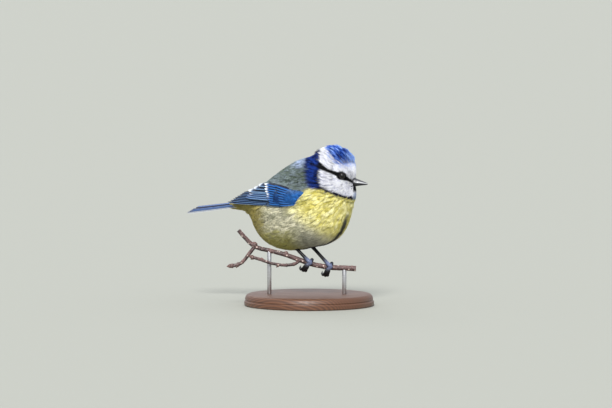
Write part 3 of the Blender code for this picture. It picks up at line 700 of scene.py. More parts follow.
@dataclass(frozen=True)
class Pipe:
    """A smooth line through points with a radius that changes along it."""

    points: tuple[Vector, ...]
    radii: tuple[float, ...]

    def read(self, along: float) -> tuple[Vector, Vector, float]:
        """The centre, the way ahead and the radius.

        Args:
            along: Place from 0 to 1.

        Returns:
            The three.
        """
        def centre(t: float) -> Vector:
            """The line's point at a share of it."""
            t = min(max(t, 0.0), 1.0) * (len(self.points) - 1)
            i = min(int(t), len(self.points) - 2)
            a = self.points[max(i - 1, 0)]
            b, c = self.points[i], self.points[i + 1]
            d = self.points[min(i + 2, len(self.points) - 1)]
            t -= i
            return b + ((c - a) * t + (a * 2 - b * 5 + c * 4 - d) * t**2 + (b * 3 - a - c * 3 + d) * t**3) / 2

        ahead = centre(along + 0.01) - centre(along - 0.01)
        places = tuple(zip(np.linspace(0, 1, len(self.radii)), self.radii))
        return centre(along), ahead.normalized(), float(Curve(places).at(along))

    def skin(self, around: int, rows: int, tint: Tint, relief: Relief, up: Vector = UP) -> Shape:
        """The tube round the line.

        Args:
            around: Steps round it; the first lies on the side that up points to.
            rows: Steps along it.
            tint: The colour at (round, along).
            relief: What to add to the radius at (point, round, along).
            up: The way that the tube's top faces.

        Returns:
            The shape.
        """
        def place(turn: float, along: float) -> Vector:
            """The point of the tube at (round, along)."""
            centre, ahead, radius = self.read(along)
            top = (up - ahead * up.dot(ahead)).normalized()
            side = ahead.cross(top)
            angle = 2 * math.pi * turn
            way = top * math.cos(angle) + side * math.sin(angle)
            at = centre + way * radius
            return at + way * relief(at, turn, along)

        return lattice(around, rows, place, tint, wrap=True)


# Finishes.


class NodeKit:
    """Short ways to lay out a node tree."""

    def __init__(self, tree: bpy.types.NodeTree) -> None:
        """Start on a tree."""
        self.tree = tree

    def feed(self, node: bpy.types.Node, **values: object) -> None:
        """Set or link inputs of a node.

        Args:
            node: The node.
            values: Inputs by name with spaces as underscores, or by number as i0, i1 and so on.
        """
        for key, value in values.items():
            named = key.replace("_", " ")
            socket = node.inputs[named] if named in node.inputs else node.inputs[int(key[1:])]
            if isinstance(value, Socket):
                self.tree.links.new(value, socket)
            else:
                socket.default_value = value

    def add(self, kind: str, **values: object) -> bpy.types.Node:
        """A node with its properties and its inputs set.

        Args:
            kind: The node's type.
            values: Properties by name, and inputs as feed takes them.

        Returns:
            The node.
        """
        node = self.tree.nodes.new(kind)
        own = {key: value for key, value in values.items() if key in node.bl_rna.properties}
        for key, value in own.items():
            setattr(node, key, value)
        self.feed(node, **{key: value for key, value in values.items() if key not in own})
        return node

    def place(self) -> Socket:
        """The place on the object, in metres."""
        return self.add("ShaderNodeTexCoord").outputs["Object"]

    def noise(self, place: Socket, scale: object, detail: float) -> Socket:
        """A soft random pattern from 0 to 1."""
        return self.add("ShaderNodeTexNoise", Vector=place, Scale=scale, Detail=detail).outputs[0]

    def stretched(self, place: Socket, scale: Point, turn: Point = (0.0, 0.0, 0.0),
                  shift: Point = (0.0, 0.0, 0.0)) -> Socket:
        """A place shifted, turned and scaled."""
        node = self.add("ShaderNodeMapping", Vector=place, Location=shift, Rotation=turn, Scale=scale)
        return node.outputs[0]

    def maths(self, operation: str, a: object, b: object = 0.0) -> Socket:
        """The result of a maths node."""
        return self.add("ShaderNodeMath", operation=operation, i0=a, i1=b).outputs[0]

    def times(self, a: object, b: object) -> Socket:
        """One value times another."""
        return self.maths("MULTIPLY", a, b)

    def scaled(self, value: Socket, low: float, high: float, to_low: float, to_high: float) -> Socket:
        """A value taken from one range to another."""
        node = self.add("ShaderNodeMapRange", Value=value, From_Min=low, From_Max=high,
                        To_Min=to_low, To_Max=to_high)
        return node.outputs["Result"]

    def blend(self, share: object, a: object, b: object, kind: str = "MIX") -> Socket:
        """Two colours mixed."""
        return self.add("ShaderNodeMix", data_type="RGBA", blend_type=kind, i0=share, i6=a, i7=b).outputs[2]

    def shaded(self, colour: object, gain: Socket) -> Socket:
        """A colour made lighter or darker by a gain."""
        grey = self.add("ShaderNodeCombineColor", i0=gain, i1=gain, i2=gain).outputs[0]
        return self.blend(1.0, colour, grey, "MULTIPLY")

    def bumps(self, height: Socket, strength: float, depth: float) -> Socket:
        """The normal of a surface that a height makes uneven."""
        return self.add("ShaderNodeBump", Height=height, Strength=strength, Distance=depth).outputs[0]


def opaque(srgb: Point) -> tuple[float, float, float, float]:
    """A screen colour as a socket takes it."""
    return (*linear(srgb), 1.0)


def blank(name: str) -> tuple[bpy.types.Material, NodeKit, bpy.types.Node]:
    """A new material with a kit for its nodes and its shader."""
    made = bpy.data.materials.new(name)
    made.use_nodes = True
    return made, NodeKit(made.node_tree), made.node_tree.nodes["Principled BSDF"]


def effect(name: str, inputs: dict[str, float | None],
           outputs: dict[str, str]) -> tuple[bpy.types.NodeTree, NodeKit, bpy.types.Node, bpy.types.Node]:
    """An empty node group with named sockets.

    Args:
        name: The group's name.
        inputs: The first value of each input, or None for a colour.
        outputs: The socket type of each output.

    Returns:
        The group, a kit for it, and its input and output nodes.
    """
    group = bpy.data.node_groups.new(name, "ShaderNodeTree")
    for label, value in inputs.items():
        kind = "NodeSocketColor" if value is None else "NodeSocketFloat"
        socket = group.interface.new_socket(label, in_out="INPUT", socket_type=kind)
        if value is not None:
            socket.default_value = value
    for label, kind in outputs.items():
        group.interface.new_socket(label, in_out="OUTPUT", socket_type=kind)
    kit = NodeKit(group)
    return group, kit, kit.add("NodeGroupInput"), kit.add("NodeGroupOutput")


def mottle_group() -> bpy.types.NodeTree:
    """Fine and broad unevenness of a colour, with a height for bump.

    Returns:
        The group, with Colour, Fine, Broad and Strength inputs.
    """
    group, kit, given, out = effect(
        "mottle",
        {"Colour": None, "Fine": 2000.0, "Broad": 200.0, "Strength": 0.15},
        {"Colour": "NodeSocketColor", "Height": "NodeSocketFloat"},
    )
    place = kit.place()
    fine = kit.noise(place, given.outputs["Fine"], 4.0)
    broad = kit.noise(place, given.outputs["Broad"], 2.0)
    both = kit.maths("ADD", kit.times(fine, 0.6), kit.times(broad, 0.4))
    swing = kit.times(kit.maths("SUBTRACT", both, 0.5), given.outputs["Strength"])
    gain = kit.maths("ADD", kit.times(swing, 2.0), 1.0)
    kit.feed(out, Colour=kit.shaded(given.outputs["Colour"], gain), Height=fine)
    return group


def barb_group() -> bpy.types.NodeTree:
    """The slanting barbs and the shaft of a vane, read from its UV map, with painted shade darkening the
    grooves between the barbs.

    Returns:
        The group, with inputs for the colour, the count of barbs and how dark the painted shade in the
        grooves is.
    """
    group, kit, given, out = effect(
        "barbs",
        {"Colour": None, "Count": 60.0, "Depth": 0.3},
        {"Colour": "NodeSocketColor", "Height": "NodeSocketFloat"},
    )
    uv = kit.add("ShaderNodeUVMap", uv_map=VANE_MAP).outputs[0]
    split = kit.add("ShaderNodeSeparateXYZ", Vector=uv)
    off = kit.maths("ABSOLUTE", kit.maths("SUBTRACT", split.outputs[0], 0.5))
    run = kit.maths("ADD", kit.times(split.outputs[1], given.outputs["Count"]), kit.times(off, -14.0))
    ridge = kit.scaled(kit.maths("SINE", kit.times(run, 2 * math.pi)), -1.0, 1.0, 0.0, 1.0)
    shaft = kit.scaled(off, 0.0, 0.035, 1.0, 0.0)
    # Painted shade: the grooves between the barbs are darkened.
    groove_shade = kit.times(kit.maths("SUBTRACT", 1.0, ridge), given.outputs["Depth"])
    gain = kit.times(kit.maths("SUBTRACT", 1.0, groove_shade), kit.scaled(shaft, 0.0, 1.0, 1.0, 0.45))
    height = kit.maths("ADD", ridge, kit.times(shaft, 2.0))
    kit.feed(out, Colour=kit.shaded(given.outputs["Colour"], gain), Height=height)
    return group


def rings_group() -> bpy.types.NodeTree:
    """The grain of turned wood: rings round a far centre, drawn out along X.

    Returns:
        The group, with Scale and Contrast inputs.
    """
    group, kit, given, out = effect(
        "wood_grain",
        {"Scale": 200.0, "Contrast": 0.6},
        {"Share": "NodeSocketFloat", "Height": "NodeSocketFloat"},
    )
    place = kit.place()
    moved = kit.stretched(place, (0.22, 1.0, 1.0), (0.06, 0.05, 0.3), (0.0, 0.09, 0.05))
    warp = kit.add("ShaderNodeTexNoise", Vector=moved, Scale=24.0, Detail=3.0).outputs[1]
    warped = kit.add("ShaderNodeMix", data_type="VECTOR", i0=0.018, i4=moved, i5=warp).outputs[1]
    wave = kit.add("ShaderNodeTexWave", wave_type="RINGS", rings_direction="X", Vector=warped,
                   Scale=given.outputs["Scale"], Distortion=1.6, Detail=3.0)
    fine = kit.noise(kit.stretched(place, (60.0, 900.0, 900.0)), 1.0, 2.0)
    share = kit.times(wave.outputs[1], given.outputs["Contrast"])
    kit.feed(out, Share=kit.maths("ADD", share, kit.times(fine, 0.35)), Height=fine)
    return group


@dataclass(frozen=True)
class TintedFinish:
    """A finish whose colour is painted on the mesh and made uneven, as feathers, horn and scaly skin are."""

    name: str
    group: bpy.types.NodeTree
    settings: dict[str, float]
    roughness: float
    bump: float
    bump_depth: float = 0.00005
    sheen: float = 0.0
    coat: float = 0.0
    specular: float = 0.5
    film_ior: float = 1.5

    def make(self) -> bpy.types.Material:
        """Build the material.

        Returns:
            The material.
        """
        made, kit, shader = blank(self.name)
        tint = kit.add("ShaderNodeAttribute", attribute_name=COLOUR).outputs["Color"]
        look = kit.add("ShaderNodeGroup", node_tree=self.group)
        kit.feed(look, Colour=tint, **self.settings)
        kit.feed(
            shader,
            Base_Color=look.outputs["Colour"],
            Normal=kit.bumps(look.outputs["Height"], self.bump, self.bump_depth),
            Roughness=self.roughness,
            Sheen_Weight=self.sheen,
            Sheen_Roughness=0.5,
            Coat_Weight=self.coat,
            Coat_Roughness=0.05,
            Coat_IOR=self.film_ior,
            Specular_IOR_Level=self.specular,
        )
        return made


@dataclass(frozen=True)
class BarkFinish:
    """Smooth young bark: purple brown, paler in streaks, with pale pores."""

    name: str = "twig_bark"
    dark: Point = (36, 24, 24)
    brown: Point = (86, 63, 60)
    pale: Point = (154, 134, 130)
    pore: Point = (196, 176, 166)

    def make(self) -> bpy.types.Material:
        """Build the material.

        Returns:
            The material.
        """
        made, kit, shader = blank(self.name)
        place = kit.place()
        broad = kit.noise(place, 260.0, 5.0)
        fine = kit.noise(place, 1500.0, 4.0)
        spots = kit.add("ShaderNodeTexVoronoi", Vector=place, Scale=420.0, Randomness=1.0)
        pore = kit.scaled(spots.outputs["Distance"], 0.16, 0.24, 1.0, 0.0)
        tone = kit.blend(kit.scaled(broad, 0.35, 0.65, 0.0, 1.0), opaque(self.dark), opaque(self.brown))
        tone = kit.blend(kit.scaled(fine, 0.45, 0.75, 0.0, 0.6), tone, opaque(self.pale))
        # The painted colour of the mesh, which carries painted light on the top of the twig.
        tint = kit.add("ShaderNodeAttribute", attribute_name=COLOUR).outputs["Color"]
        tone = kit.blend(1.0, tone, tint, "MULTIPLY")
        height = kit.maths("ADD", kit.times(fine, 0.5), kit.maths("ADD", broad, kit.times(pore, 0.8)))
        kit.feed(
            shader,
            Base_Color=kit.blend(pore, tone, opaque(self.pore)),
            Normal=kit.bumps(height, 0.6, 0.00015),
            Roughness=kit.scaled(broad, 0.3, 0.7, 0.42, 0.7),
        )
        return made


@dataclass(frozen=True)
class WoodFinish:
    """Turned dark hardwood with a satin varnish."""

    group: bpy.types.NodeTree
    name: str = "base_wood"
    pale: Point = (110, 72, 48)
    dark: Point = (58, 34, 24)

    def make(self) -> bpy.types.Material:
        """Build the material.

        Returns:
            The material.
        """
        made, kit, shader = blank(self.name)
        grain = kit.add("ShaderNodeGroup", node_tree=self.group)
        height = grain.outputs["Height"]
        kit.feed(
            shader,
            Base_Color=kit.blend(grain.outputs["Share"], opaque(self.pale), opaque(self.dark)),
            Normal=kit.bumps(height, 0.2, 0.00008),
            Roughness=kit.scaled(height, 0.3, 0.7, 0.42, 0.58),
            Coat_Weight=0.15,
            Coat_Roughness=0.3,
        )
        return made


@dataclass(frozen=True)
class SteelFinish:
    """Fine brushed steel, brushed round the rod."""

    name: str = "rod_steel"
    dark: Point = (176, 176, 178)
    pale: Point = (206, 206, 208)

    def make(self) -> bpy.types.Material:
        """Build the material.

        Returns:
            The material.
        """
        made, kit, shader = blank(self.name)
        brush = kit.noise(kit.stretched(kit.place(), (150.0, 150.0, 9000.0)), 1.0, 2.0)
        streak = kit.scaled(brush, 0.3, 0.7, 0.0, 1.0)
        kit.feed(
            shader,
            Base_Color=kit.blend(streak, opaque(self.dark), opaque(self.pale)),
            Normal=kit.bumps(brush, 0.15, 0.00002),
            Roughness=kit.scaled(brush, 0.3, 0.7, 0.24, 0.42),
            Metallic=1.0,
        )
        return made


class FinishSet:
    """Every material, built once."""

    def __init__(self) -> None:
        """Build the node groups and the materials."""
        mottle, barbs = mottle_group(), barb_group()
        down = {"Fine": 3200.0, "Broad": 260.0, "Strength": 0.16}
        vane = {"Count": 34.0, "Depth": 0.22}
        horn = {"Fine": 2600.0, "Broad": 500.0, "Strength": 0.22}
        scales = {"Fine": 2400.0, "Broad": 380.0, "Strength": 0.3}
        wet = {"Fine": 900.0, "Broad": 300.0, "Strength": 0.05}
        self.skin = TintedFinish("coat_skin", mottle, down, 0.9, 0.5, sheen=0.03, specular=0.1).make()
        self.coat = TintedFinish("body_feathers", mottle, down, 0.72, 0.25, sheen=0.03, specular=0.1).make()
        self.vane = TintedFinish(
            "flight_feathers", barbs, vane, 0.5, 0.35, 0.00006, sheen=0.03, specular=0.15).make()
        self.horn = TintedFinish("bill_horn", mottle, horn, 0.34, 0.25, 0.00004, coat=0.15).make()
        self.scales = TintedFinish(
            "leg_scales", mottle, scales, 0.5, 0.5, 0.00006, coat=0.04, specular=0.3).make()
        self.eye = TintedFinish(
            "wet_eye", mottle, wet, 0.05, 0.0, coat=1.0, specular=0.0, film_ior=1.43).make()
        self.bark = BarkFinish().make()
        self.wood = WoodFinish(rings_group()).make()
        self.steel = SteelFinish().make()


@dataclass
class Assembly:
    """A part of the model that is made in the given materials."""

    finishes: FinishSet


# Body.


@dataclass
class Skin(Assembly):
    """One closed skin under the coat, from the bill to the root of the tail."""

    form: BodyForm
    plumage: Plumage
    detail: int = 7
    # Painted shade: the share of the coat's colours that the skin takes, for the shadow in the gaps of the
    # coat.
    shade: float = 0.8
    points: Array = field(default=None)

    def build(self) -> None:
        """Make the skin in the colours of the coat, darkened as painted shade for the gaps between the
        feathers.
        """
        shape = bmesh.new()
        bmesh.ops.create_icosphere(shape, subdivisions=self.detail, radius=1.0)
        self.points = self.form.cast(np.array([v.co.normalized() for v in shape.verts]), -COAT_DEPTH)
        # The coat's colours, darkened as painted shade under the feathers.
        tint = self.plumage.colour(self.points, np.zeros(len(self.points))) * self.shade
        layer = shape.verts.layers.float_color.new(COLOUR)
        for vert, place, colour in zip(shape.verts, self.points, tint):
            vert.co = place
            vert[layer] = (*colour, 1.0)
        bmesh.ops.recalc_face_normals(shape, faces=shape.faces)
        shaped("skin", [shape], self.finishes.skin, ("torso", "neck", "head"), 180.0)


@dataclass(frozen=True)
class Tract:
    """A region of the coat with feathers of one make.

    A feather is a fan of barbs of one length and half spread. Spacing keeps roots apart, stray turns each
    off the lie in degrees, loose lifts it, and root_shade darkens its root, partly for its grey down and
    partly as painted shade under the coat. A lock is the width and length of a group of feathers, and
    contrast is how far its painted light changes: a lock that lies higher is lighter, one lower darker.
    """

    name: str
    barbs: int
    length: float
    spread: float
    spacing: float
    stray: float
    loose: float
    root_shade: float
    lock: tuple[float, float]
    contrast: float


class Region(Enum):
    """The tracts, from the face to the back."""

    FACE = Tract("face", 6, 2.2, 0.44, 0.48, 5.0, 0.05, 0.97, (0.7, 3.0), 0.03)
    CROWN = Tract("crown", 6, 4.4, 0.42, 0.72, 8.0, 1.1, 0.9, (0.75, 6.0), 0.05)
    NECK = Tract("neck", 7, 5.4, 0.6, 0.95, 7.0, 0.35, 0.8, (0.9, 7.0), 0.12)
    BREAST = Tract("breast", 9, 7.6, 0.95, 1.25, 8.0, 0.26, 0.88, (1.1, 8.0), 0.05)
    FLANK = Tract("flank", 10, 9.4, 1.1, 1.35, 10.0, 0.5, 0.82, (1.3, 9.0), 0.1)
    MANTLE = Tract("mantle", 9, 7.2, 1.1, 1.3, 9.0, 0.35, 0.78, (1.3, 8.0), 0.14)
    RUMP = Tract("rump", 10, 8.0, 1.2, 1.35, 8.0, 0.25, 0.7, (1.3, 8.0), 0.1)


COVERTS = Tract("coverts", 8, 4.4, 0.7, 0.8, 7.0, 0.25, 0.8, (0.9, 5.0), 0.22)


@dataclass
class Coat(Assembly):
    """The small feathers: each is a fan of narrow barbs that lie along the body."""

    form: BodyForm
    plumage: Plumage
    surface: WingSurface
    skin: Skin
    stations: tuple[float, ...] = (0.0, 0.5, 0.86, 1.0)
    widths: tuple[float, ...] = (0.7, 1.0, 0.7)
    bill_point: Point = (29.0, 4.4, 74.6)
    tail_point: Point = (-64.0, 0.0, 60.0)
    most_barbs: int = 12000
    shortest: float = 0.6
    eye_clear: float = 2.3
    eye_reach: float = 7.0
    wing_front: float = 9.0
    wing_tip: float = -52.0
    tuck: float = 1.1
    tuck_more: float = 1.4
    over_lift: float = 2.6
    top_line: Curve = Curve(((-52.0, 9.0), (-20.0, 6.8), (-12.0, 4.8), (-5.0, 3.2), (5.0, 2.6)))
    front_line: Curve = Curve(((-6.5, -9.0), (-4.0, 1.0), (-1.0, 3.7), (2.5, 6.6), (5.0, 6.0)))
    random: np.random.Generator = field(default_factory=lambda: np.random.default_rng(SEED))

    def flow(self, points: Array, normals: Array) -> Array:
        """The lie of the coat: away from the bill, and towards the tail further back.

        Args:
            points: One root a row.
            normals: The way out at each.

        Returns:
            One unit direction a row, along the form.
        """
        away = unit(points - np.array(self.bill_point))
        back = unit(np.array(self.tail_point) - points)
        head = 1.0 - soft(np.linalg.norm(points - np.array(HEAD_CENTRE), axis=1) - 24.0, 10.0)
        way = away * (0.7 + 0.3 * head)[:, None] + back * (0.6 * (1 - head))[:, None]
        way[:, 2] -= 0.3 * (1 - head) * soft(points[:, 0] + 26.0, 10.0)
        way -= normals * np.sum(way * normals, axis=1, keepdims=True)
        return unit(way)

    def over_wing(self, points: Array, out: Curve) -> Array:
        """How deep points lie inside the outline of the near wing, in millimetres.

        Args:
            points: Points in the last axis.
            out: The wing sheet's curve.

        Returns:
            Depths, negative outside.
        """
        x, z = points[..., 0], points[..., 2]
        depth = self.surface.half.at(x) - np.abs(z - self.surface.mid.at(x))
        depth = np.minimum(depth, (self.wing_front - x) * 1.2)
        near = np.abs(points[..., 1]) > 0.55 * out.at(x)
        return np.where((x < self.wing_front) & (x > self.wing_tip) & near, depth, -9.0)

    def region_of(self, points: Array) -> Array:
        """The tract that each root belongs to, as a number in Region's order.

        Args:
            points: One root a row.

        Returns:
            One number a row.
        """
        near_bill, crown, neck, breast, flank, mantle, rump = range(len(Region))
        local = self.plumage.head.local(points)
        f, u = local[:, 0], local[:, 2]
        x, z = points[:, 0], points[:, 2]
        above = z > self.plumage.wing_line.at(x)
        found = np.where(above, mantle, np.where(x > 6, breast, flank))
        found = np.where((x < -24) & (above | (x < -33)), rump, found)
        face = (f > self.plumage.collar_front.at(u)) & (u > self.plumage.cheek_low.at(f) - 0.5)
        found = np.where((f > -17.5) & (u > -11) & ~face & above, neck, found)
        found = np.where((f > -2) & (u > -20) & ~face & (u < -8), neck, found)
        found = np.where(face, crown, found)
        return np.where(face & (f > 3) & (u < 3), near_bill, found)

    def roots(self, region: int, tract: Tract, home: Array) -> Array:
        """Pick roots for a tract that keep their distance from each other.

        Args:
            region: The tract's number.
            tract: The tract.
            home: The tract's number at each point of the skin.

        Returns:
            The numbers of the chosen skin points.
        """
        order = self.random.permutation(np.flatnonzero(home == region))
        cell = tract.spacing
        taken: dict[tuple[int, int, int], list[Array]] = {}
        chosen = []
        for index in order:
            point = self.skin.points[index]
            key = tuple(int(c) for c in np.floor(point / cell))
            close = (
                other
                for i in (-1, 0, 1) for j in (-1, 0, 1) for k in (-1, 0, 1)
                for other in taken.get((key[0] + i, key[1] + j, key[2] + k), ())
            )
            if all(np.dot(point - other, point - other) > cell * cell for other in close):
                taken.setdefault(key, []).append(point)
                chosen.append(index)
        return np.array(chosen, int)

    def clear_of_eyes(self, points: Array, flow: Array, length: Array) -> Array:
        """Shorten feathers that would run over an eye or the bill.

        Args:
            points: One root a row.
            flow: The way that each lies.
            length: The length of each.

        Returns:
            The new lengths, 0 where there is no room.
        """
        length = length.copy()
        for side in (-1, 1):
            eye, outward = (np.array(part) for part in self.plumage.head.eye(side))
            offset = eye - points
            offset -= outward * (offset @ outward)[:, None]
            ahead = np.sum(offset * flow, axis=1)
            miss = np.linalg.norm(offset - flow * ahead[:, None], axis=1)
            near = np.linalg.norm(eye - points, axis=1) < self.eye_reach
            half = np.sqrt(np.maximum(self.eye_clear**2 - miss**2, 0.0))
            meets = near & (miss < self.eye_clear) & (ahead > -half)
            length = np.where(meets, np.minimum(length, np.maximum(ahead - half, 0.0)), length)
        local = self.plumage.head.local(points)
        bill = np.hypot(local[:, 1] / 1.9, (local[:, 2] - BILL_BASE[2]) / 2.1) < 1.0
        return np.where(bill & (local[:, 0] > 8.0), 0.0, length)

    def grow(self, region: int, tract: Tract, home: Array, out: Curve) -> dict[str, Array]:
        """Work out every barb of a tract.

        Args:
            region: The tract's number.
            tract: The tract.
            home: The tract's number at each point of the skin.
            out: The wing sheet's curve.

        Returns:
            The barbs' points, colours and UV places.
        """
        chosen = self.roots(region, tract, home)
        root = self.skin.points[chosen]
        normal = self.form.normal(root)
        flow = self.flow(root, normal)
        draw = self.random
        swing = np.radians(draw.normal(0.0, tract.stray, len(chosen)))
        side = np.cross(normal, flow)
        flow = flow * np.cos(swing)[:, None] + side * np.sin(swing)[:, None]
        length = tract.length * draw.uniform(0.85, 1.15, len(chosen))
        length = self.clear_of_eyes(root, flow, length)
        hidden = self.over_wing(root, out) > self.tuck + self.tuck_more * self.over_edge(root)
        keep = (length > self.shortest) & ~hidden
        root, normal, flow, length = root[keep], normal[keep], flow[keep], length[keep]

        def lie(centre: Array, along: Array, loft: Array) -> tuple[Array, Array]:
            """Set barbs down on the body, or on the wing where they lie over it."""
            level = -COAT_DEPTH + (COAT_DEPTH - 0.15 + loft) * self.rising(along)
            lifted = soft(self.over_wing(centre, out) - 0.6, 2.4) * self.over_edge(centre)
            x = centre[..., 0]
            rise = centre[..., 2] - self.surface.mid.at(x)
            sheets = [self.surface.place(out, x, rise, 0 * x, way)[0] for way in (1, -1)]
            sheet = np.where(centre[..., 1:2] > 0, *sheets)
            over_sheet = np.maximum(self.form.distance(sheet), 0.0) + self.over_lift
            centre = self.form.settle(centre, level + lifted * over_sheet)
            return centre, self.form.normal(centre)

        return self.fans(tract, root, normal, flow, length, lie, self.plumage.colour)

    def rising(self, along: Array) -> Array:
        """The share of its height that a barb has at each place along it."""
        return 1.0 - (1.0 - along) ** 1.7

    def over_edge(self, points: Array) -> Array:
        """Where the coat lies over the wing: along its upper edge and its bend, not its lower edge.

        Args:
            points: Points in the last axis.

        Returns:
            A share from 0 to 1 for each.
        """
        x = points[..., 0]
        rise = points[..., 2] - self.surface.mid.at(x)
        return np.maximum(soft(rise - self.top_line.at(x), 1.0), soft(x - self.front_line.at(rise), 1.4))

    def coverts(self, side: int) -> dict[str, Array]:
        """The small soft feathers over the bend of a folded wing.

        Args:
            side: 1 for the left wing, -1 for the right.

        Returns:
            The barbs' points, colours and UV places.
        """
        out = self.surface.out_curve()
        draw = self.random
        tract = COVERTS
        grid = np.arange(-7.5, 8.0, tract.spacing), np.arange(-7.0, 7.0, tract.spacing)
        x, rise = (g.ravel() + draw.uniform(-0.35, 0.35, g.size) for g in np.meshgrid(*grid))
        inside = np.abs(rise) < self.surface.half.at(x) - 0.2
        x, rise = x[inside], rise[inside]
        root, normal = self.surface.place(out, x, rise, self.surface.pad(x, rise), side)
        flow = np.stack([-np.ones_like(x), np.zeros_like(x), -0.12 + 0.03 * rise], axis=-1)
        flow -= normal * np.sum(flow * normal, axis=1, keepdims=True)
        flow = unit(flow)
        length = tract.length * draw.uniform(0.85, 1.15, len(x)) * (0.7 + 0.3 * soft(5.0 - x, 6.0))

        def lie(centre: Array, along: Array, loft: Array) -> tuple[Array, Array]:
            """Set barbs down on the pad of the wing."""
            at = centre[..., 0]
            high = centre[..., 2] - self.surface.mid.at(at)
            lift = self.surface.pad(at, high) + (0.35 + loft) * self.rising(along)
            return self.surface.place(out, at, high, lift, side)

        return self.fans(tract, root, normal, flow, length, lie, self.plumage.covert)

    def streaks(self, root: Array, flow: Array, tract: Tract) -> Array:
        """Unevenness drawn out along the lie of the coat, which groups the feathers in locks.

        Args:
            root: Where each feather grows.
            flow: The way that each lies.
            tract: The make of the feathers.

        Returns:
            A number for each feather, mostly from -1 to 1.
        """
        total = np.zeros(len(root))
        for step in np.linspace(-0.5, 0.5, 5):
            places = (root + flow * (tract.lock[1] * step)) / tract.lock[0]
            total += [noise.noise(Vector(place)) for place in places]
        return total / max(float(np.std(total)), 1e-6) * 0.7

    def fans(self, tract: Tract, root: Array, normal: Array, flow: Array, length: Array,
             lie: Lie, colour: Callable[[Array, Array], Array]) -> dict[str, Array]:
        """Spread each feather into narrow barbs.

        Args:
            tract: The make of the feathers.
            root: Where each grows.
            normal: The way out at each.
            flow: The way that each lies.
            length: The length of each.
            lie: Sets points down on what is under them and gives the way out there.
            colour: Gives the colours at points.

        Returns:
            The barbs' points, colours and UV places.
        """
        draw = self.random
        each, every = (len(root), 1, 1), (len(root), tract.barbs, 1)
        side = np.cross(normal, flow)
        clump = self.streaks(root, flow, tract)[:, None, None]
        shrink = np.clip(length / tract.length, 0.45, 1.0)[:, None, None]
        across = np.linspace(-1.0, 1.0, tract.barbs)[None, :, None]
        along = np.array(self.stations)[None, None, :]
        trim = (1.0 - 0.2 * across**2) * draw.uniform(0.86, 1.08, every)
        bend = draw.normal(0.0, 0.1, every)
        reach = length[:, None, None] * trim * along
        wide = tract.spread * shrink * (across * (0.35 + 0.65 * along**0.8) + bend * along**2)
        centre = root[:, None, None] + flow[:, None, None] * reach[..., None]
        centre = centre + side[:, None, None] * wide[..., None]
        loft = 0.45 + 0.45 * clump + draw.uniform(-0.25, 0.3, each) + draw.uniform(-0.1, 0.25, every)
        centre, out_way = lie(centre, np.broadcast_to(along, centre.shape[:3]), loft * tract.loose)
        points = self.barb_points(tract, centre, out_way, side, shrink)
        wander = clump * 0.62 + draw.normal(0.0, 0.22, each) + draw.normal(0.0, 0.22, every)
        wander = np.clip(wander, -1.2, 1.2)
        shade = colour(centre, np.broadcast_to(wander, centre.shape[:3]))
        # The random tone of each feather and barb; the two lines below add painted light and shade to it.
        light = draw.uniform(0.92, 1.06, each) * draw.uniform(0.84, 1.1, every)
        # Painted light and shade: a lock lofted higher by its clump is made lighter, one that lies lower
        # darker.
        light = light * (1.0 + tract.contrast * np.clip(clump, -1.5, 1.0))
        # Painted shade at the roots, which lie under the coat, mixed with the grey of their down.
        light = light * (tract.root_shade + (1.0 - tract.root_shade) * np.minimum(along * 1.5, 1.0))
        shade = np.clip(shade * light[..., None], 0.0, 1.0)
        tint = np.concatenate([np.repeat(shade[:, :, :-1], 3, axis=2), shade[:, :, -1:]], axis=2)
        made = {"points": points, "tint": tint, "uv": self.bake_patches(tract, root)}
        return {key: value.reshape(-1, BARB_POINTS, value.shape[-1]) for key, value in made.items()}

    def barb_points(self, tract: Tract, centre: Array, out_way: Array, side: Array, shrink: Array) -> Array:
        """The points of each barb: a ring of three at each station but the last, and a tip.

        Args:
            tract: The make of the feathers.
            centre: The middle of each barb at its stations.
            out_way: The way out there.
            side: The way across each feather.
            shrink: How much narrower short feathers are.

        Returns:
            The points, by feather and barb.
        """
        span = (tract.spread / tract.barbs * 1.15 * shrink * np.array(self.widths))[..., None]
        ring, up = centre[:, :, :-1], out_way[:, :, :-1]
        sideways = side[:, None, None] * span
        left = ring - sideways - up * 0.03
        right = ring + sideways - up * 0.03
        crown = ring + up * (0.06 + 0.25 * span)
        rings = np.stack([left, crown, right], axis=3).reshape(*centre.shape[:2], BARB_POINTS - 1, 3)
        return np.concatenate([rings, centre[:, :, -1:]], axis=2)

    def bake_patches(self, tract: Tract, root: Array) -> Array:
        """Places on the bake map: a small patch for each feather, at its root's place on the unwrapped skin.

        Args:
            tract: The make of the feathers.
            root: Where each grows.

        Returns:
            The UV places, by feather, barb and point.
        """
        way = unit(root - np.array(self.form.centre))
        turn = np.arctan2(way[:, 2], way[:, 1]) / (2 * np.pi) + 0.5
        fall = np.arccos(np.clip(way[:, 0], -1, 1)) / np.pi
        home = PATCH + (1.0 - 2 * PATCH) * np.stack([turn, fall], axis=-1)
        u = np.append(np.repeat(self.stations[:-1], 3), 1.0) - 0.5
        v = np.append(np.tile((-1.0, 0.0, 1.0), 3), 0.0)
        lane = (np.arange(tract.barbs) + 0.5) / tract.barbs - 0.5
        uv = np.empty((len(root), tract.barbs, BARB_POINTS, 2))
        uv[..., 0] = home[:, None, None, 0] + PATCH * u
        uv[..., 1] = home[:, None, None, 1] + PATCH * (lane[None, :, None] + v / tract.barbs * 0.45)
        return uv

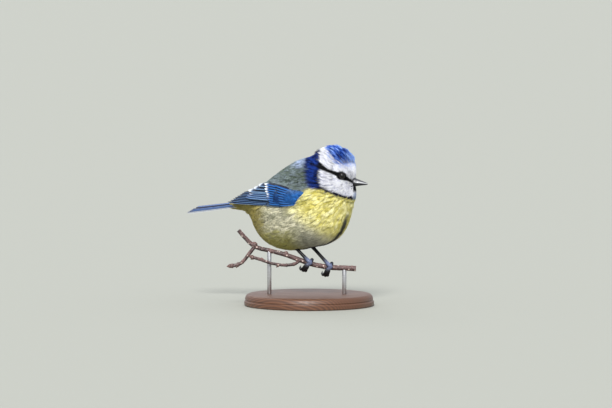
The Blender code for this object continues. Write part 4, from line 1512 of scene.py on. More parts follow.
    def piece(self, name: str, barbs: dict[str, Array]) -> bpy.types.Object:
        """Join barbs into one mesh.

        Args:
            name: The piece's name.
            barbs: Points, colours and UV places of each barb.

        Returns:
            The piece.
        """
        pattern = [(0, 2, 1)]
        for ring in (0, 3):
            for a, b in ((0, 1), (1, 2), (2, 0)):
                pattern += [(ring + a, ring + b, ring + 3 + b), (ring + a, ring + 3 + b, ring + 3 + a)]
        pattern += [(6, 7, 9), (7, 8, 9), (8, 6, 9)]
        starts = np.arange(len(barbs["points"])) * BARB_POINTS
        faces = (np.array(pattern)[None] + starts[:, None, None]).reshape(-1, 3)
        points = barbs["points"].reshape(-1, 3)
        if self.inside_out(points[faces[:len(pattern)]]):
            faces = faces[:, ::-1]
        mesh = bpy.data.meshes.new(name)
        mesh.vertices.add(len(points))
        mesh.vertices.foreach_set("co", (points * MM).astype(np.float32).ravel())
        mesh.loops.add(faces.size)
        mesh.loops.foreach_set("vertex_index", faces.astype(np.int32).ravel())
        mesh.polygons.add(len(faces))
        mesh.polygons.foreach_set("loop_start", np.arange(0, faces.size, 3, dtype=np.int32))
        mesh.update(calc_edges=True)
        colours = np.concatenate([barbs["tint"].reshape(-1, 3), np.ones((len(points), 1))], axis=1)
        tint = mesh.attributes.new(COLOUR, "FLOAT_COLOR", "POINT")
        tint.data.foreach_set("color", colours.astype(np.float32).ravel())
        places = barbs["uv"].reshape(-1, 2)[faces.ravel()]
        layer = mesh.uv_layers.new(name=BAKE_MAP)
        layer.data.foreach_set("uv", places.astype(np.float32).ravel())
        mesh.validate()
        mesh.shade_smooth()
        return put(name, mesh, self.finishes.coat)

    def inside_out(self, triangles: Array) -> bool:
        """Whether a closed set of triangles has its faces turned inwards."""
        centre = triangles.reshape(-1, 3).mean(axis=0)
        return float(np.linalg.det(triangles - centre).sum()) < 0

    def build(self) -> None:
        """Make every tract, in pieces that stay under the limit of faces."""
        out = self.surface.out_curve()
        home = self.region_of(self.skin.points)
        for number, region in enumerate(Region):
            self.pieces(region.value.name, self.grow(number, region.value, home, out))
        for label, side in (("right", -1), ("left", 1)):
            self.pieces(f"coverts_{label}", self.coverts(side))

    def pieces(self, label: str, grown: dict[str, Array]) -> None:
        """Join a tract's barbs in as many pieces as the limit of faces asks.

        Args:
            label: The tract's name.
            grown: The barbs' points, colours and UV places.
        """
        total = len(grown["points"])
        parts = max(1, math.ceil(total / self.most_barbs))
        for part in range(parts):
            chosen = slice(part * total // parts, (part + 1) * total // parts)
            barbs = {key: rows[chosen] for key, rows in grown.items()}
            self.piece(f"coat_{label}_{part + 1}", barbs)


# Wings and tail.


@dataclass(frozen=True)
class Row:
    """A row of wing feathers, from the lowest to the highest.

    Low and high are the lowest and the highest feather, each as its root and tip in (x, rise, lift). Bow
    bends the low ones, and blunt is the rounded share of each. The widths and the places where the dark and
    the pale tip start are shares of what shows of a feather.
    """

    name: str
    count: int
    low: tuple[Point, Point]
    high: tuple[Point, Point]
    half_width: float
    base: Hue
    edge: Hue
    tip: Hue
    edge_share: float
    tip_share: float
    blunt: float = 0.25
    edge_width: float = 0.3
    dark_from: float = 0.72
    tip_from: float = 0.3
    bow: float = 0.0


ROWS = (
    Row(
        "primary", 8, ((-9, -4.3, -0.9), (-51, -1.2, 0.0)), ((-10, 0.8, -0.6), (-38, 1.9, 1.4)), 1.35,
        Hue.COVERT_REAR, Hue.EDGE_BLUE, Hue.WING_DARK, 0.95, 0.0, edge_width=0.17, dark_from=0.55, bow=-1.5,
    ),
    Row(
        "secondary", 6, ((-8, -1.6, 0.1), (-35, -1.3, 1.9)), ((-8, 4.2, 0.1), (-29.5, 3.4, 1.9)), 1.6,
        Hue.WING_BLUE, Hue.EDGE_BLUE, Hue.EDGE_WHITE, 0.85, 0.4, edge_width=0.34, dark_from=0.62,
    ),
    Row(
        "tertial", 3, ((-9, 2.6, 0.3), (-34, 2.2, 2.3)), ((-9, 5.6, 0.3), (-25, 5.4, 2.2)), 1.9,
        Hue.TERTIAL, Hue.EDGE_BLUE, Hue.EDGE_WHITE, 0.8, 0.9, edge_width=0.24, dark_from=0.5, tip_from=-1.0,
    ),
    Row(
        "primary_covert", 4, ((1, -4.6, 0.0), (-19, -5.3, 0.9)), ((0, -2.8, 0.0), (-17, -3.8, 1.2)), 1.0,
        Hue.WING_DARK, Hue.EDGE_BLUE, Hue.WING_DARK, 0.5, 0.0,
    ),
    Row(
        "greater_covert", 9, ((0, -3.6, 0.3), (-15, -4.3, 1.8)), ((-2, 5.2, 0.3), (-19.5, 5.6, 3.3)), 1.15,
        Hue.COVERT_REAR, Hue.COVERT_FRONT, Hue.EDGE_WHITE, 0.6, 1.0, 0.3,
        edge_width=0.5, dark_from=0.84, tip_from=0.42,
    ),
    Row(
        "median_covert", 8, ((4, -3.4, 0.5), (-7, -4.6, 2.3)), ((3, 3.4, 0.5), (-11, 5.2, 3.4)), 1.2,
        Hue.COVERT_REAR, Hue.COVERT_FRONT, Hue.WING_BLUE, 0.6, 0.0, 0.45, edge_width=0.5, dark_from=0.9,
    ),
)


@dataclass
class Wing(Assembly):
    """A folded wing: rows of flight feathers and coverts laid like tiles."""

    label: str
    side: int
    surface: WingSurface
    tilt: float = math.radians(25.0)
    columns: int = 10
    rows: int = 22
    thickness: float = 0.12
    camber: float = 0.22
    tip_start: float = 0.87
    least_gap: float = 0.8
    pad_front: float = 9.3
    pad_length: float = 26.0
    pad_thickness: float = 0.5

    def vane(self, row: Row, index: int, out: Curve, draw: np.random.Generator) -> Shape:
        """One feather of a row.

        Args:
            row: The row.
            index: Its number, 0 the lowest.
            out: The wing sheet's curve.
            draw: The random source.

        Returns:
            The shape.
        """
        share = index / (row.count - 1)
        low, high = np.array(row.low, float), np.array(row.high, float)
        root, tip = low + (high - low) * share
        tip[0] += draw.uniform(-0.5, 0.5)
        width = row.half_width * draw.uniform(0.96, 1.06)
        s = np.linspace(0.0, 1.0, self.rows + 1)
        lift = root[2] + (tip[2] - root[2]) * (1 - (1 - s) ** 1.6)
        x = root[0] + (tip[0] - root[0]) * s
        rise = root[1] + (tip[1] - root[1]) * s + row.bow * (1.0 - share) * np.sin(np.pi * s)
        centre, normal = self.surface.place(out, x, rise, lift, self.side)
        upward = unit(np.cross(normal, np.gradient(centre, axis=0)))
        upward *= np.sign(upward[:, 2:3])
        across = upward * math.cos(self.tilt) - normal * math.sin(self.tilt)
        out_way = normal * math.cos(self.tilt) + upward * math.sin(self.tilt)
        end = np.clip((s - 1.0 + row.blunt) / row.blunt, 0.0, 1.0)
        half = width * (0.75 + 0.25 * np.clip(s / 0.4, 0, 1)) * np.sqrt(np.maximum(1.0 - end**2.2, 0.0025))

        def place(u: float, v: float) -> Vector:
            """The point at (across, along)."""
            i = round(v * self.rows)
            t = 2 * u - 1
            crown = self.camber * (1 - t * t) * width / 1.5
            return Vector(centre[i] + across[i] * half[i] * t + out_way[i] * crown)

        tint = self.vane_tint(row, share, draw.uniform(0.88, 1.1))
        return lattice(self.columns, self.rows, place, tint, thickness=self.thickness)

    def vane_tint(self, row: Row, share: float, tone: float) -> Tint:
        """The colours of a feather: its base, a dark side towards the next feather, a pale edge and a pale
        tip.
        The dark side is partly its real dark web and partly painted shade under the next feather's edge.

        Args:
            row: The row.
            share: The feather's place in it, from 0 for the lowest to 1.
            tone: How light the feather is.

        Returns:
            The tint.
        """
        rises = np.abs(np.array(row.high)[:, 1] - np.array(row.low)[:, 1])
        gap_root, gap_tip = np.maximum(rises / (row.count - 1), self.least_gap)
        base, edge, pale = row.base.value, row.edge.value, row.tip.value
        tip_share = row.tip_share * soft(share - row.tip_from, 0.25)

        def tint(u: float, v: float) -> Array:
            """The colour at (across, along)."""
            shown = 2 * u * row.half_width / (gap_root + (gap_tip - gap_root) * v)
            # Partly painted shade: dark from just below the next feather's edge, where it casts its shadow,
            # and partly the dark web.
            dark_share = soft(shown - row.dark_from, 0.16) * (1 - row.tip_share * soft(v - 0.8, 0.1))
            made = mixed(base, Hue.WING_DARK.value, dark_share)
            made = mixed(made, edge, row.edge_share * soft(row.edge_width - shown, 0.12))
            made = mixed(made, pale, tip_share * soft(v - self.tip_start, 0.05))
            return np.clip(made * tone, 0, 1)

        return tint

    def pad(self, out: Curve) -> Shape:
        """The flesh at the bend of the wing, under the small coverts, in a covert colour darkened as painted
        shade.

        Args:
            out: The wing sheet's curve.

        Returns:
            The shape.
        """
        # Painted shade: the coverts' colour darkened for the shadow under them.
        colour = Hue.COVERT_REAR.value * 0.8

        def place(u: float, v: float) -> Vector:
            """The point at (across, along)."""
            x = np.array(self.pad_front - self.pad_length * v)
            rise = (2 * u - 1) * self.surface.half.at(x) * 0.97
            lift = self.surface.pad(x, rise) - 0.15 - self.pad_thickness
            return Vector(self.surface.place(out, x, rise, lift, self.side)[0])

        return lattice(16, 28, place, lambda u, v: colour, thickness=self.pad_thickness)

    def build(self) -> None:
        """Make the wing."""
        draw = np.random.default_rng(SEED + self.side)
        out = self.surface.out_curve()
        vanes = [self.vane(row, i, out, draw) for row in ROWS for i in range(row.count)]
        node = f"wing_{self.label}"
        shaped(f"{node}_feathers", [*vanes, self.pad(out)], self.finishes.vane, (node,))


@dataclass
class Tail(Assembly):
    """Twelve tail feathers, the middle pair on top and the outer pairs below."""

    tip_x: float = -80.5
    root_x: float = -41.0
    step: float = 0.44
    roll: float = math.radians(5.0)
    notch: float = 4.0
    half_width: float = 2.5
    pair_root_step: float = 0.1
    pair_tip_step: float = 0.36
    tip_start: float = 0.86
    line_x: float = -50.0
    line_height: float = 60.6
    line_slope: float = 0.13
    columns: int = 8
    rows: int = 20
    thickness: float = 0.16

    def vane(self, pair: int, side: int, draw: np.random.Generator) -> Shape:
        """One feather.

        Args:
            pair: 0 for the middle pair to 5 for the outer.
            side: 1 for the left, -1 for the right.
            draw: The random source.

        Returns:
            The shape.
        """
        drop = 0.0 if pair == 0 and side > 0 else self.step * (pair + 1)
        inner = -1.4 if pair == 0 else -0.2
        end_x = self.tip_x + self.notch * (1 - min(pair, 4) / 4) + draw.uniform(-0.15, 0.15)
        turn = Matrix.Rotation(self.roll, 3, "X")
        tone = draw.uniform(0.9, 1.1)
        outer, edge_share = (Hue.EDGE_WHITE, 0.95) if pair > 3 else (Hue.CAP_PALE, 0.6)

        def place(u: float, v: float) -> Vector:
            """The point at (across, along)."""
            t = 2 * u - 1
            x = self.root_x + (end_x - self.root_x) * v
            end = max((v - self.tip_start) / (1.0 - self.tip_start), 0.0)
            full = self.half_width * (0.6 + 0.4 * min(v / 0.6, 1.0))
            width = full * math.sqrt(max(1 - end**2.2, 0.004))
            fanned = (self.pair_root_step + self.pair_tip_step * v) * pair
            y = side * (inner + full + fanned + width * t)
            camber = 0.18 * (1 - t * t)
            rolled = turn @ Vector((0.0, y, -drop - 0.05 * abs(y) + camber - 0.16))
            return rolled + Vector((x, 0.0, self.line_height + (x - self.line_x) * self.line_slope))

        def tint(u: float, v: float) -> Array:
            """The colour at (across, along)."""
            t = 2 * u - 1
            step = self.pair_root_step + self.pair_tip_step * v
            shown = (1.0 - t) * self.half_width / step if pair else 1.0 + t
            base = Hue.TAIL_BLUE.value * (1.0 - 0.45 * soft(0.1 - abs(t), 0.12))
            made = mixed(base, Hue.WING_DARK.value, 0.85 * soft(shown - 1.0, 0.4))
            made = mixed(made, outer.value, edge_share * soft(0.36 - shown, 0.14))
            return np.clip(made * tone, 0, 1)

        return lattice(self.columns, self.rows, place, tint, thickness=self.thickness)

    def build(self) -> None:
        """Make the tail."""
        draw = np.random.default_rng(SEED + 5)
        vanes = [self.vane(pair, side, draw) for pair in range(6) for side in (-1, 1)]
        shaped("tail_feathers", vanes, self.finishes.vane, ("tail",))


# Head.


@dataclass
class Eyes(Assembly):
    """Two wet eyes, each with a thin dark lid round it."""

    head: HeadFrame = HeadFrame()
    pupil: Point = (1, 1, 1)
    iris: Point = (16, 9, 5)
    rim: Point = (2, 2, 2)
    lid_dark: Point = (3, 3, 5)
    lid_pale: Point = (18, 18, 23)
    lid_radius: float = 1.95
    lid_thickness: float = 0.3
    lid_out: float = 0.85
    lid_beads: int = 26

    def ball(self, side: int) -> Shape:
        """An eyeball with a dark brown iris round a black pupil.

        Args:
            side: 1 for the right eye, -1 for the left.

        Returns:
            The shape.
        """
        place, outward = self.head.eye(side)
        pupil, iris, rim = linear(self.pupil), linear(self.iris), linear(self.rim)

        def colour_at(point: Vector) -> Array:
            """The colour of the pupil, the iris or the rim."""
            angle = math.degrees(point.angle(UP))
            return mixed(mixed(pupil, iris, soft(angle - 33.0, 4.0)), rim, soft(angle - 58.0, 6.0))

        shape = bmesh.new()
        bmesh.ops.create_uvsphere(shape, u_segments=48, v_segments=32, radius=EYE_RADIUS)
        paint(shape, colour_at)
        turn = UP.rotation_difference(outward).to_matrix().to_4x4()
        bmesh.ops.transform(shape, matrix=Matrix.Translation(place) @ turn, verts=shape.verts)
        return shape

    def lid(self, side: int) -> Shape:
        """The rim of the lids, an oval a little lower than wide.

        Args:
            side: 1 for the right eye, -1 for the left.

        Returns:
            The shape.
        """
        middle, outward = self.head.eye(side)
        middle = middle + outward * self.lid_out
        ahead = UP.cross(outward).normalized()
        high = outward.cross(ahead)
        dark, pale = linear(self.lid_dark), linear(self.lid_pale)

        def place(u: float, v: float) -> Vector:
            """The point at (across, along)."""
            a, b = 2 * math.pi * v, 2 * math.pi * u
            swell = self.lid_thickness * math.cos(b) * (1.0 + 0.12 * math.sin(self.lid_beads * a))
            across = self.lid_radius * 1.03 + swell
            upward = self.lid_radius * 0.93 + swell
            at = ahead * (across * math.cos(a)) + high * (upward * math.sin(a))
            return middle + at + outward * (self.lid_thickness * 0.8 * math.sin(b))

        def tint(u: float, v: float) -> Array:
            """The colour at (across, along)."""
            # Painted light and shade: paler on the crown of each bead, darker between the beads.
            return mixed(dark, pale, 0.5 + 0.5 * math.sin(2 * self.lid_beads * math.pi * v))

        return lattice(8, 4 * self.lid_beads, place, tint, wrap=True)

    def build(self) -> None:
        """Make both eyes and their lids."""
        for label, side in (("right", 1), ("left", -1)):
            shaped(f"eyeball_{label}", [self.ball(side)], self.finishes.eye, (f"eye_{label}",), 180.0)
        shaped("eyelids", [self.lid(1), self.lid(-1)], self.finishes.skin, (), 180.0)


@dataclass(frozen=True)
class Half:
    """One half of the bill: 1 for the upper or -1 for the lower, its height, its curve and its colours."""

    label: str
    sign: int
    height: float
    fullness: float
    horn: Point
    edge: Point


HALVES = (
    # The upper half's pale edge along the mouth is partly its real pale cutting edge and partly a painted
    # highlight.
    Half("upper", 1, 2.65, 0.85, (66, 66, 72), (196, 198, 202)),
    # Partly painted shade: the lower half is made near black for the shadow under the upper half.
    Half("lower", -1, 2.1, 0.7, (10, 10, 13), (40, 40, 46)),
)


@dataclass
class Bill(Assembly):
    """The closed bill: two halves with the line of the mouth between them."""

    head: HeadFrame = HeadFrame()
    length: float = 8.0
    pitch: float = math.radians(-1.5)
    half_width: float = 2.15
    hidden: float = 0.3
    shown: float = 0.975
    nostril_depth: float = 0.35

    def half(self, half: Half) -> Shape:
        """One half of the bill.

        Args:
            half: The half.

        Returns:
            The shape.
        """
        start = self.head.place(BILL_BASE)
        ahead = self.head.way((math.cos(self.pitch), 0.0, math.sin(self.pitch)))
        right = self.head.way((0.0, 1.0, 0.0))
        up = ahead.cross(right)
        up = up if up.z > 0 else -up
        horn, edge = linear(half.horn), linear(half.edge)

        def place(u: float, v: float) -> Vector:
            """The point at (across, along)."""
            s = (self.hidden + self.shown) * v - self.hidden
            past = max(s, 0.0)
            taper = max(1.0 - past, 0.0)
            wide = self.half_width * taper**0.8 + 0.04
            tall = half.height * (taper**half.fullness * (1 - 0.08 * math.sin(math.pi * past)) + 0.04)
            a = 2 * math.pi * u
            over = math.sin(a) > 0
            if over and half.sign > 0:
                off = ((s - 0.17) / 0.07) ** 2 + ((abs(math.cos(a)) - 0.78) / 0.12) ** 2
                nostril = self.nostril_depth * math.exp(-off)
                wide, tall = wide - nostril, tall - nostril
            lift = math.sin(a) if over else 0.05 * math.sin(a)
            centre = start + ahead * (self.length * s) + up * (half.sign * GAP / 3 - 0.5 * past**2)
            return centre + right * (wide * math.cos(a)) + up * (half.sign * tall * lift)

        def tint(u: float, v: float) -> Array:
            """The colour at (across, along)."""
            level = abs(math.sin(2 * math.pi * u))
            # Pale along the line of the mouth: partly the real pale cutting edge, partly a painted highlight.
            pale = 0.85 * soft(0.4 - level, 0.2) * soft(v - 0.3, 0.15)
            return mixed(horn, edge, pale) * (1.0 - 0.55 * soft(level - 0.86, 0.12))

        return lattice(40, 36, place, tint, wrap=True)

    def build(self) -> None:
        """Make both halves."""
        for half in HALVES:
            name, node = f"horn_{half.label}", f"bill_{half.label}"
            shaped(name, [self.half(half)], self.finishes.horn, (node,), 50.0)


# Perch, legs and stand.


@dataclass(frozen=True)
class Twig:
    """The line of the twig: place along it from the feet, and height."""

    line: tuple[tuple[float, float], ...] = (
        (21.0, 22.4), (14.0, 22.8), (6.6, 23.1), (0.0, 24.0), (-6.6, 25.5), (-15.0, 28.5),
        (-22.0, 31.0), (-30.6, 33.2), (-36.5, 34.6), (-41.0, 36.6), (-45.5, 41.0), (-49.5, 45.5),
    )
    radius: float = 1.5
    thinning: float = 0.006

    def point(self, place: float, height: float, out: float = 0.0) -> Vector:
        """A point in the upright plane of the perch, or out of it to the bird's right."""
        flat = FEET_CENTRE + ALONG * place + ACROSS * out
        return Vector((flat.x, flat.y, height))

    def at(self, place: float) -> tuple[Vector, Vector]:
        """The twig's centre and its way ahead at a place.

        Args:
            place: Distance along the perch from the feet.

        Returns:
            The centre and the unit direction.
        """
        curve = Curve(self.line)
        here, after, before = (float(curve.at(place + d)) for d in (0.0, 0.3, -0.3))
        ahead = self.point(place + 0.3, after) - self.point(place - 0.3, before)
        return self.point(place, here), ahead.normalized()

    def wrap(self, place: float, angle: float, radius: float) -> Vector:
        """A point round the twig: 90 degrees is on top, 0 is the side to the bird's right."""
        centre, ahead = self.at(place)
        up = ACROSS.cross(ahead).normalized()
        up = up if up.z > 0 else -up
        return centre + (ACROSS * math.cos(angle) + up * math.sin(angle)) * radius


def smooth(point: Vector, turn: float, along: float) -> float:
    """No relief."""
    return 0.0


def bark_relief(point: Vector, turn: float, along: float) -> float:
    """Lumps of young bark, in millimetres."""
    return 0.10 * noise.noise(point * 0.55) + 0.05 * noise.noise(point * 1.7)


def lumpy_ball(size: Sequence[float], lumps: float, fineness: float, seed: Vector) -> Shape:
    """An ellipsoid with an uneven surface.

    Args:
        size: Its radii along, across and up.
        lumps: How far the surface changes, as a share of the radii.
        fineness: How close the lumps are.
        seed: Where the lumps are read, which makes each ball different.

    Returns:
        The shape.
    """
    shape = bmesh.new()
    bmesh.ops.create_icosphere(shape, subdivisions=4, radius=1.0)
    for vert in shape.verts:
        swell = 1.0 + lumps * noise.noise(vert.co * fineness + seed)
        vert.co = Vector(c * r * swell for c, r in zip(vert.co, size))
    return shape


def set_down(shape: Shape, centre: Vector) -> None:
    """Turn a shape along the perch and move it to its place."""
    turn = Matrix.Rotation(PERCH_TURN, 4, "Z")
    bmesh.ops.transform(shape, matrix=Matrix.Translation(centre) @ turn, verts=shape.verts)


@dataclass(frozen=True)
class Shoot:
    """A side shoot of the twig.

    Line is its places as (place, height, out), end_bud the inset, length and radius of the bud at its end,
    knots the places and swellings along it from 0 to 1, and buds their places and tilts.
    """

    name: str
    node: str
    line: tuple[Point, ...]
    radii: tuple[float, ...]
    rows: int
    end_bud: Point
    knots: tuple[tuple[float, float], ...]
    buds: tuple[tuple[float, float], ...]


SHOOTS = (
    Shoot(
        "twig_low_shoot", "perch_shoot_low",
        ((-40.0, 35.5, 0.0), (-43.0, 31.5, 0.0), (-46.5, 27.0, 0.0), (-49.5, 25.0, 0.0), (-53.0, 24.2, 0.0),
         (-55.0, 23.95, 0.0)),
        (1.15, 1.1, 1.0, 1.05, 1.1, 0.9), 90, (1.6, 3.2, 1.25),
        ((0.22, 1.25), (0.43, 1.3), (0.62, 1.4), (0.82, 1.35)),
        ((0.6, -0.9),),
    ),
    Shoot(
        "twig_side_shoot", "perch_shoot_side",
        ((-13.2, 27.0, 0.5), (-16.0, 25.4, 2.4), (-22.0, 24.8, 3.6), (-29.5, 25.9, 4.2), (-36.0, 28.1, 4.2),
         (-40.5, 29.5, 4.0), (-42.0, 29.9, 3.9)),
        (0.95, 0.95, 0.9, 0.85, 0.9, 0.95, 0.8), 110, (1.4, 2.9, 1.15),
        ((0.18, 1.2), (0.3, 1.25), (0.42, 1.15), (0.56, 1.2), (0.7, 1.15), (0.85, 1.2)),
        ((0.4, -0.9), (0.62, 0.8), (0.8, -0.7)),
    ),
)


@dataclass
class Perch(Assembly):
    """The cut length of twig with its fork, buds and two side shoots."""

    twig: Twig = Twig()
    knots: tuple[tuple[float, float, Point], ...] = (
        (-40.2, 0.7, (2.1, 1.75, 1.75)), (-21.0, 0.9, (1.4, 1.1, 1.5)), (-30.5, -0.2, (1.2, 1.6, 1.55)),
        (2.0, 0.0, (1.3, 1.65, 1.65)), (18.5, 0.1, (1.3, 1.7, 1.7)),
    )

    def tint(self, turn: float, along: float) -> Point:
        """Paler above than beneath: painted light on the top of the twig and painted shade below."""
        # Painted light: the top side is made lighter, the underside darker.
        top = 0.5 + 0.5 * math.cos(2 * math.pi * turn)
        return (0.6 + 0.6 * top, 0.54 + 0.56 * top, 0.55 + 0.58 * top)

    def bud(self, base: Vector, way: Vector, length: float, radius: float) -> Shape:
        """A pointed bud with its scales.

        Args:
            base: Where it sits.
            way: The way that it points.
            length: Its length.
            radius: Its largest radius.

        Returns:
            The shape.
        """
        shares = (0.75, 1.0, 0.98, 0.74, 0.42, 0.1)
        line = tuple(base + way * (length * i / (len(shares) - 1)) for i in range(len(shares)))

        def scales(point: Vector, turn: float, along: float) -> float:
            """The bud's scales, wound round it."""
            return 0.09 * radius * math.sin(9 * math.pi * along + 4 * math.pi * turn)

        upright = UP if abs(way.z) < 0.9 else ALONG
        pipe = Pipe(line, tuple(radius * share for share in shares))
        return pipe.skin(16, 18, lambda u, v: (1.25, 1.1, 1.05), scales, up=upright)

    def knot(self, centre: Vector, size: Point) -> Shape:
        """A swelling of the bark where a bud or shoot grew.

        Args:
            centre: Its centre.
            size: Its radii along, across and up.

        Returns:
            The shape.
        """
        shape = lumpy_ball(size, 0.12, 2.3, centre)
        # Painted light: the knot's top is made lighter than its underside.
        paint(shape, lambda point: (1.6, 1.5, 1.5) if point.z > 0.3 * size[2] else (1.1, 1.05, 1.05))
        set_down(shape, centre)
        return shape

    def shoot(self, shoot: Shoot) -> list[Shape]:
        """A side shoot with its knots, its small buds and the bud at its end.

        Args:
            shoot: The shoot.

        Returns:
            Its shapes.
        """
        points = tuple(self.twig.point(*place) for place in shoot.line)
        line = Pipe(points, shoot.radii)
        shapes = [line.skin(20, shoot.rows, self.tint, bark_relief)]
        for share, swell in shoot.knots:
            centre, _, radius = line.read(share)
            shapes.append(self.knot(centre, (radius * 0.95, radius * swell, radius * swell)))
        for share, tilt in shoot.buds:
            centre, ahead, radius = line.read(share)
            way = (ahead + UP * tilt).normalized()
            shapes.append(self.bud(centre + way * radius * 0.4, way, 2.2, 0.75))
        inset, length, radius = shoot.end_bud
        way = (points[-1] - points[-2]).normalized()
        shapes.append(self.bud(points[-1] - way * inset, way, length, radius))
        return shapes

    def build(self) -> None:
        """Make the twig and both shoots."""
        line = tuple(self.twig.point(place, height) for place, height in self.twig.line)
        radii = tuple(self.twig.radius + self.twig.thinning * place for place, _ in self.twig.line)
        main = [Pipe(line, radii).skin(28, 220, self.tint, bark_relief)]
        for place, rise, size in self.knots:
            main.append(self.knot(self.twig.at(place)[0] + UP * rise, size))
        shaped("twig_main", main, self.finishes.bark, ("perch_twig",))
        for shoot in SHOOTS:
            shaped(shoot.name, self.shoot(shoot), self.finishes.bark, (shoot.node,))


@dataclass(frozen=True)
class Toe:
    """A toe wrapped on the twig.

    Spread is how far its tip goes along the twig. Start and end are its arc, and claw_end the end of its
    claw's, in degrees. Radius is its centre line's distance from the middle of the twig, and slack is what
    that grows by.
    """

    name: str
    spread: float
    start: float
    end: float
    claw_end: float
    radius: float
    slack: float


TOES = (
    Toe("inner", -4.0, 6.0, -112.0, -148.0, 2.85, 2.1),
    Toe("middle", -2.5, 6.0, -120.0, -154.0, 2.95, 2.3),
    Toe("outer", -1.0, 6.0, -112.0, -148.0, 2.85, 2.1),
    Toe("hind", 1.3, 24.0, 158.0, 196.0, 2.75, 0.0),
)


@dataclass
class Leg(Assembly):
    """A tarsus with its scutes, and a foot that grips the twig."""

    label: str
    place: float
    top: Vector
    twig: Twig = Twig()
    tarsus_radius: float = 1.12
    toe_radius: float = 0.82
    grip: float = math.radians(14.0)
    bow: Vector = Vector((0.35, 0.0, -0.35))
    front: Vector = Vector((1.0, 0.0, 0.6))
    ankle_height: float = 1.6
    pad_height: float = 1.25
    pad_size: Point = (1.5, 1.2, 1.6)
    shank_plates: int = 15
    toe_plates: int = 9
    slate: Point = (100, 110, 140)
    # Painted shade: the leg darkens to this towards the belly, under which it lies.
    black: Point = (18, 19, 22)
    toe_slate: Point = (84, 92, 120)
    # Painted shade: the toes darken to this where they wrap round the twig.
    toe_black: Point = (14, 15, 19)
    pad_slate: Point = (92, 100, 128)
    claw_horn: Point = (26, 27, 32)

    def toe_line(self, toe: Toe, first: float, last: float, count: int, swell: float) -> list[Vector]:
        """Centre points along a toe or its claw.

        Args:
            toe: The toe.
            first: The arc where the line starts.
            last: The arc where it ends.
            count: The number of points.
            swell: How far the end stands further off the twig.

        Returns:
            The points.
        """
        points = []
        for i in range(count):
            s = i / (count - 1)
            angle = first + (last - first) * s
            whole = (angle - toe.start) / (toe.end - toe.start)
            offset = toe.spread * min(1.0, whole) ** 0.6 if whole > 0 else 0.0
            radius = toe.radius + toe.slack * min(whole * 1.6, 1.0) + swell * s * s
            points.append(self.twig.wrap(self.place + offset, math.radians(angle), radius))
        return points

    def scutes(self, count: int, depth: float) -> Relief:
        """Overlapping plates across the front of a leg or toe.

        Args:
            count: The number of plates.
            depth: How far each stands out.

        Returns:
            The relief.
        """
        def relief(point: Vector, turn: float, along: float) -> float:
            """The plates, strongest in front."""
            plate = (along * count) % 1.0
            front = 0.5 + 0.5 * math.cos(2 * math.pi * turn)
            return depth * (plate - 0.5) * (0.35 + 0.65 * front) + 0.02 * noise.noise(point * 3.0)

        return relief

    def leg_tint(self, turn: float, along: float) -> Array:
        """Slate blue at the foot, darker in the joints of the plates.

        Painted shade makes it nearly black towards the belly, and painted light makes it lighter in front
        than behind.
        """
        # Painted shade: nearly black towards the belly.
        made = mixed(linear(self.slate), linear(self.black), soft(along - 0.3, 0.1))
        joint = 1.0 - 0.45 * soft(0.12 - (along * self.shank_plates) % 1.0, 0.1)
        # Painted light and shade: lighter on the front and top of the leg, darker behind.
        return made * joint * (0.75 + 0.35 * math.cos(2 * math.pi * turn))

    def toe_tint(self, turn: float, along: float) -> Array:
        """Slate with dark joints, darkening to nearly black away from the foot as painted shade where the toe
        wraps round the twig, and lighter on its outer side than against the twig as painted light.
        """
        # Painted shade: nearly black along the part of the toe that wraps round the twig.
        made = mixed(linear(self.toe_slate), linear(self.toe_black), soft(along - 0.16, 0.16))
        joint = 1.0 - 0.55 * soft(0.14 - (along * self.toe_plates) % 1.0, 0.1)
        # Painted light and shade: lighter on the toe's outer side, darker against the twig.
        return made * joint * (0.85 + 0.3 * math.cos(2 * math.pi * turn))

    def shank(self) -> Shape:
        """The leg from the foot up into the belly."""
        foot = self.twig.wrap(self.place, self.grip, self.twig.radius + GAP + self.ankle_height)
        way = self.top - foot
        places = (-0.02, 0.08, 0.3, 0.55, 0.8, 0.95, 1.35)
        line = tuple(foot + way * s + self.bow * math.sin(math.pi * min(s, 1.0)) for s in places)
        radii = tuple(self.tarsus_radius * share for share in (0.95, 1.12, 0.98, 0.9, 0.93, 1.08, 1.2))
        relief = self.scutes(self.shank_plates, 0.13)
        return Pipe(line, radii).skin(20, 150, self.leg_tint, relief, up=self.front)

    def pad(self) -> Shape:
        """The ball of the foot."""
        shape = lumpy_ball(self.pad_size, 0.06, 3.1, Vector())
        paint(shape, lambda point: linear(self.pad_slate))
        set_down(shape, self.twig.wrap(self.place, self.grip, self.twig.radius + GAP + self.pad_height))
        return shape

    def digit(self, toe: Toe) -> tuple[Shape, Shape]:
        """A toe and its claw.

        Args:
            toe: The toe.

        Returns:
            The two shapes.
        """
        points = self.toe_line(toe, toe.start, toe.end, 7, 0.0)
        radii = tuple(self.toe_radius * share for share in (1.2, 1.0, 1.12, 0.92, 1.06, 0.92, 0.8))
        outward = (points[3] - self.twig.at(self.place)[0]).normalized()
        relief = self.scutes(self.toe_plates, 0.12)
        flesh = Pipe(tuple(points), radii).skin(16, 72, self.toe_tint, relief, up=outward)
        sign = 1.0 if toe.claw_end > toe.end else -1.0
        start = toe.end + sign * math.degrees(GAP / toe.radius)
        ahead = (points[-1] - points[-2]).normalized()
        run = self.toe_line(toe, start, toe.claw_end, 6, 0.9)
        shift = points[-1] + ahead * GAP - run[0]
        run = [point + shift * (1 - i / 5) for i, point in enumerate(run)]
        run[0] = points[-1] - ahead * 0.5
        horn = linear(self.claw_horn)
        claw = Pipe(tuple(run), (0.5, 0.52, 0.44, 0.34, 0.22, 0.07))
        return flesh, claw.skin(12, 24, lambda u, v: horn * (1.6 - v), smooth, outward)

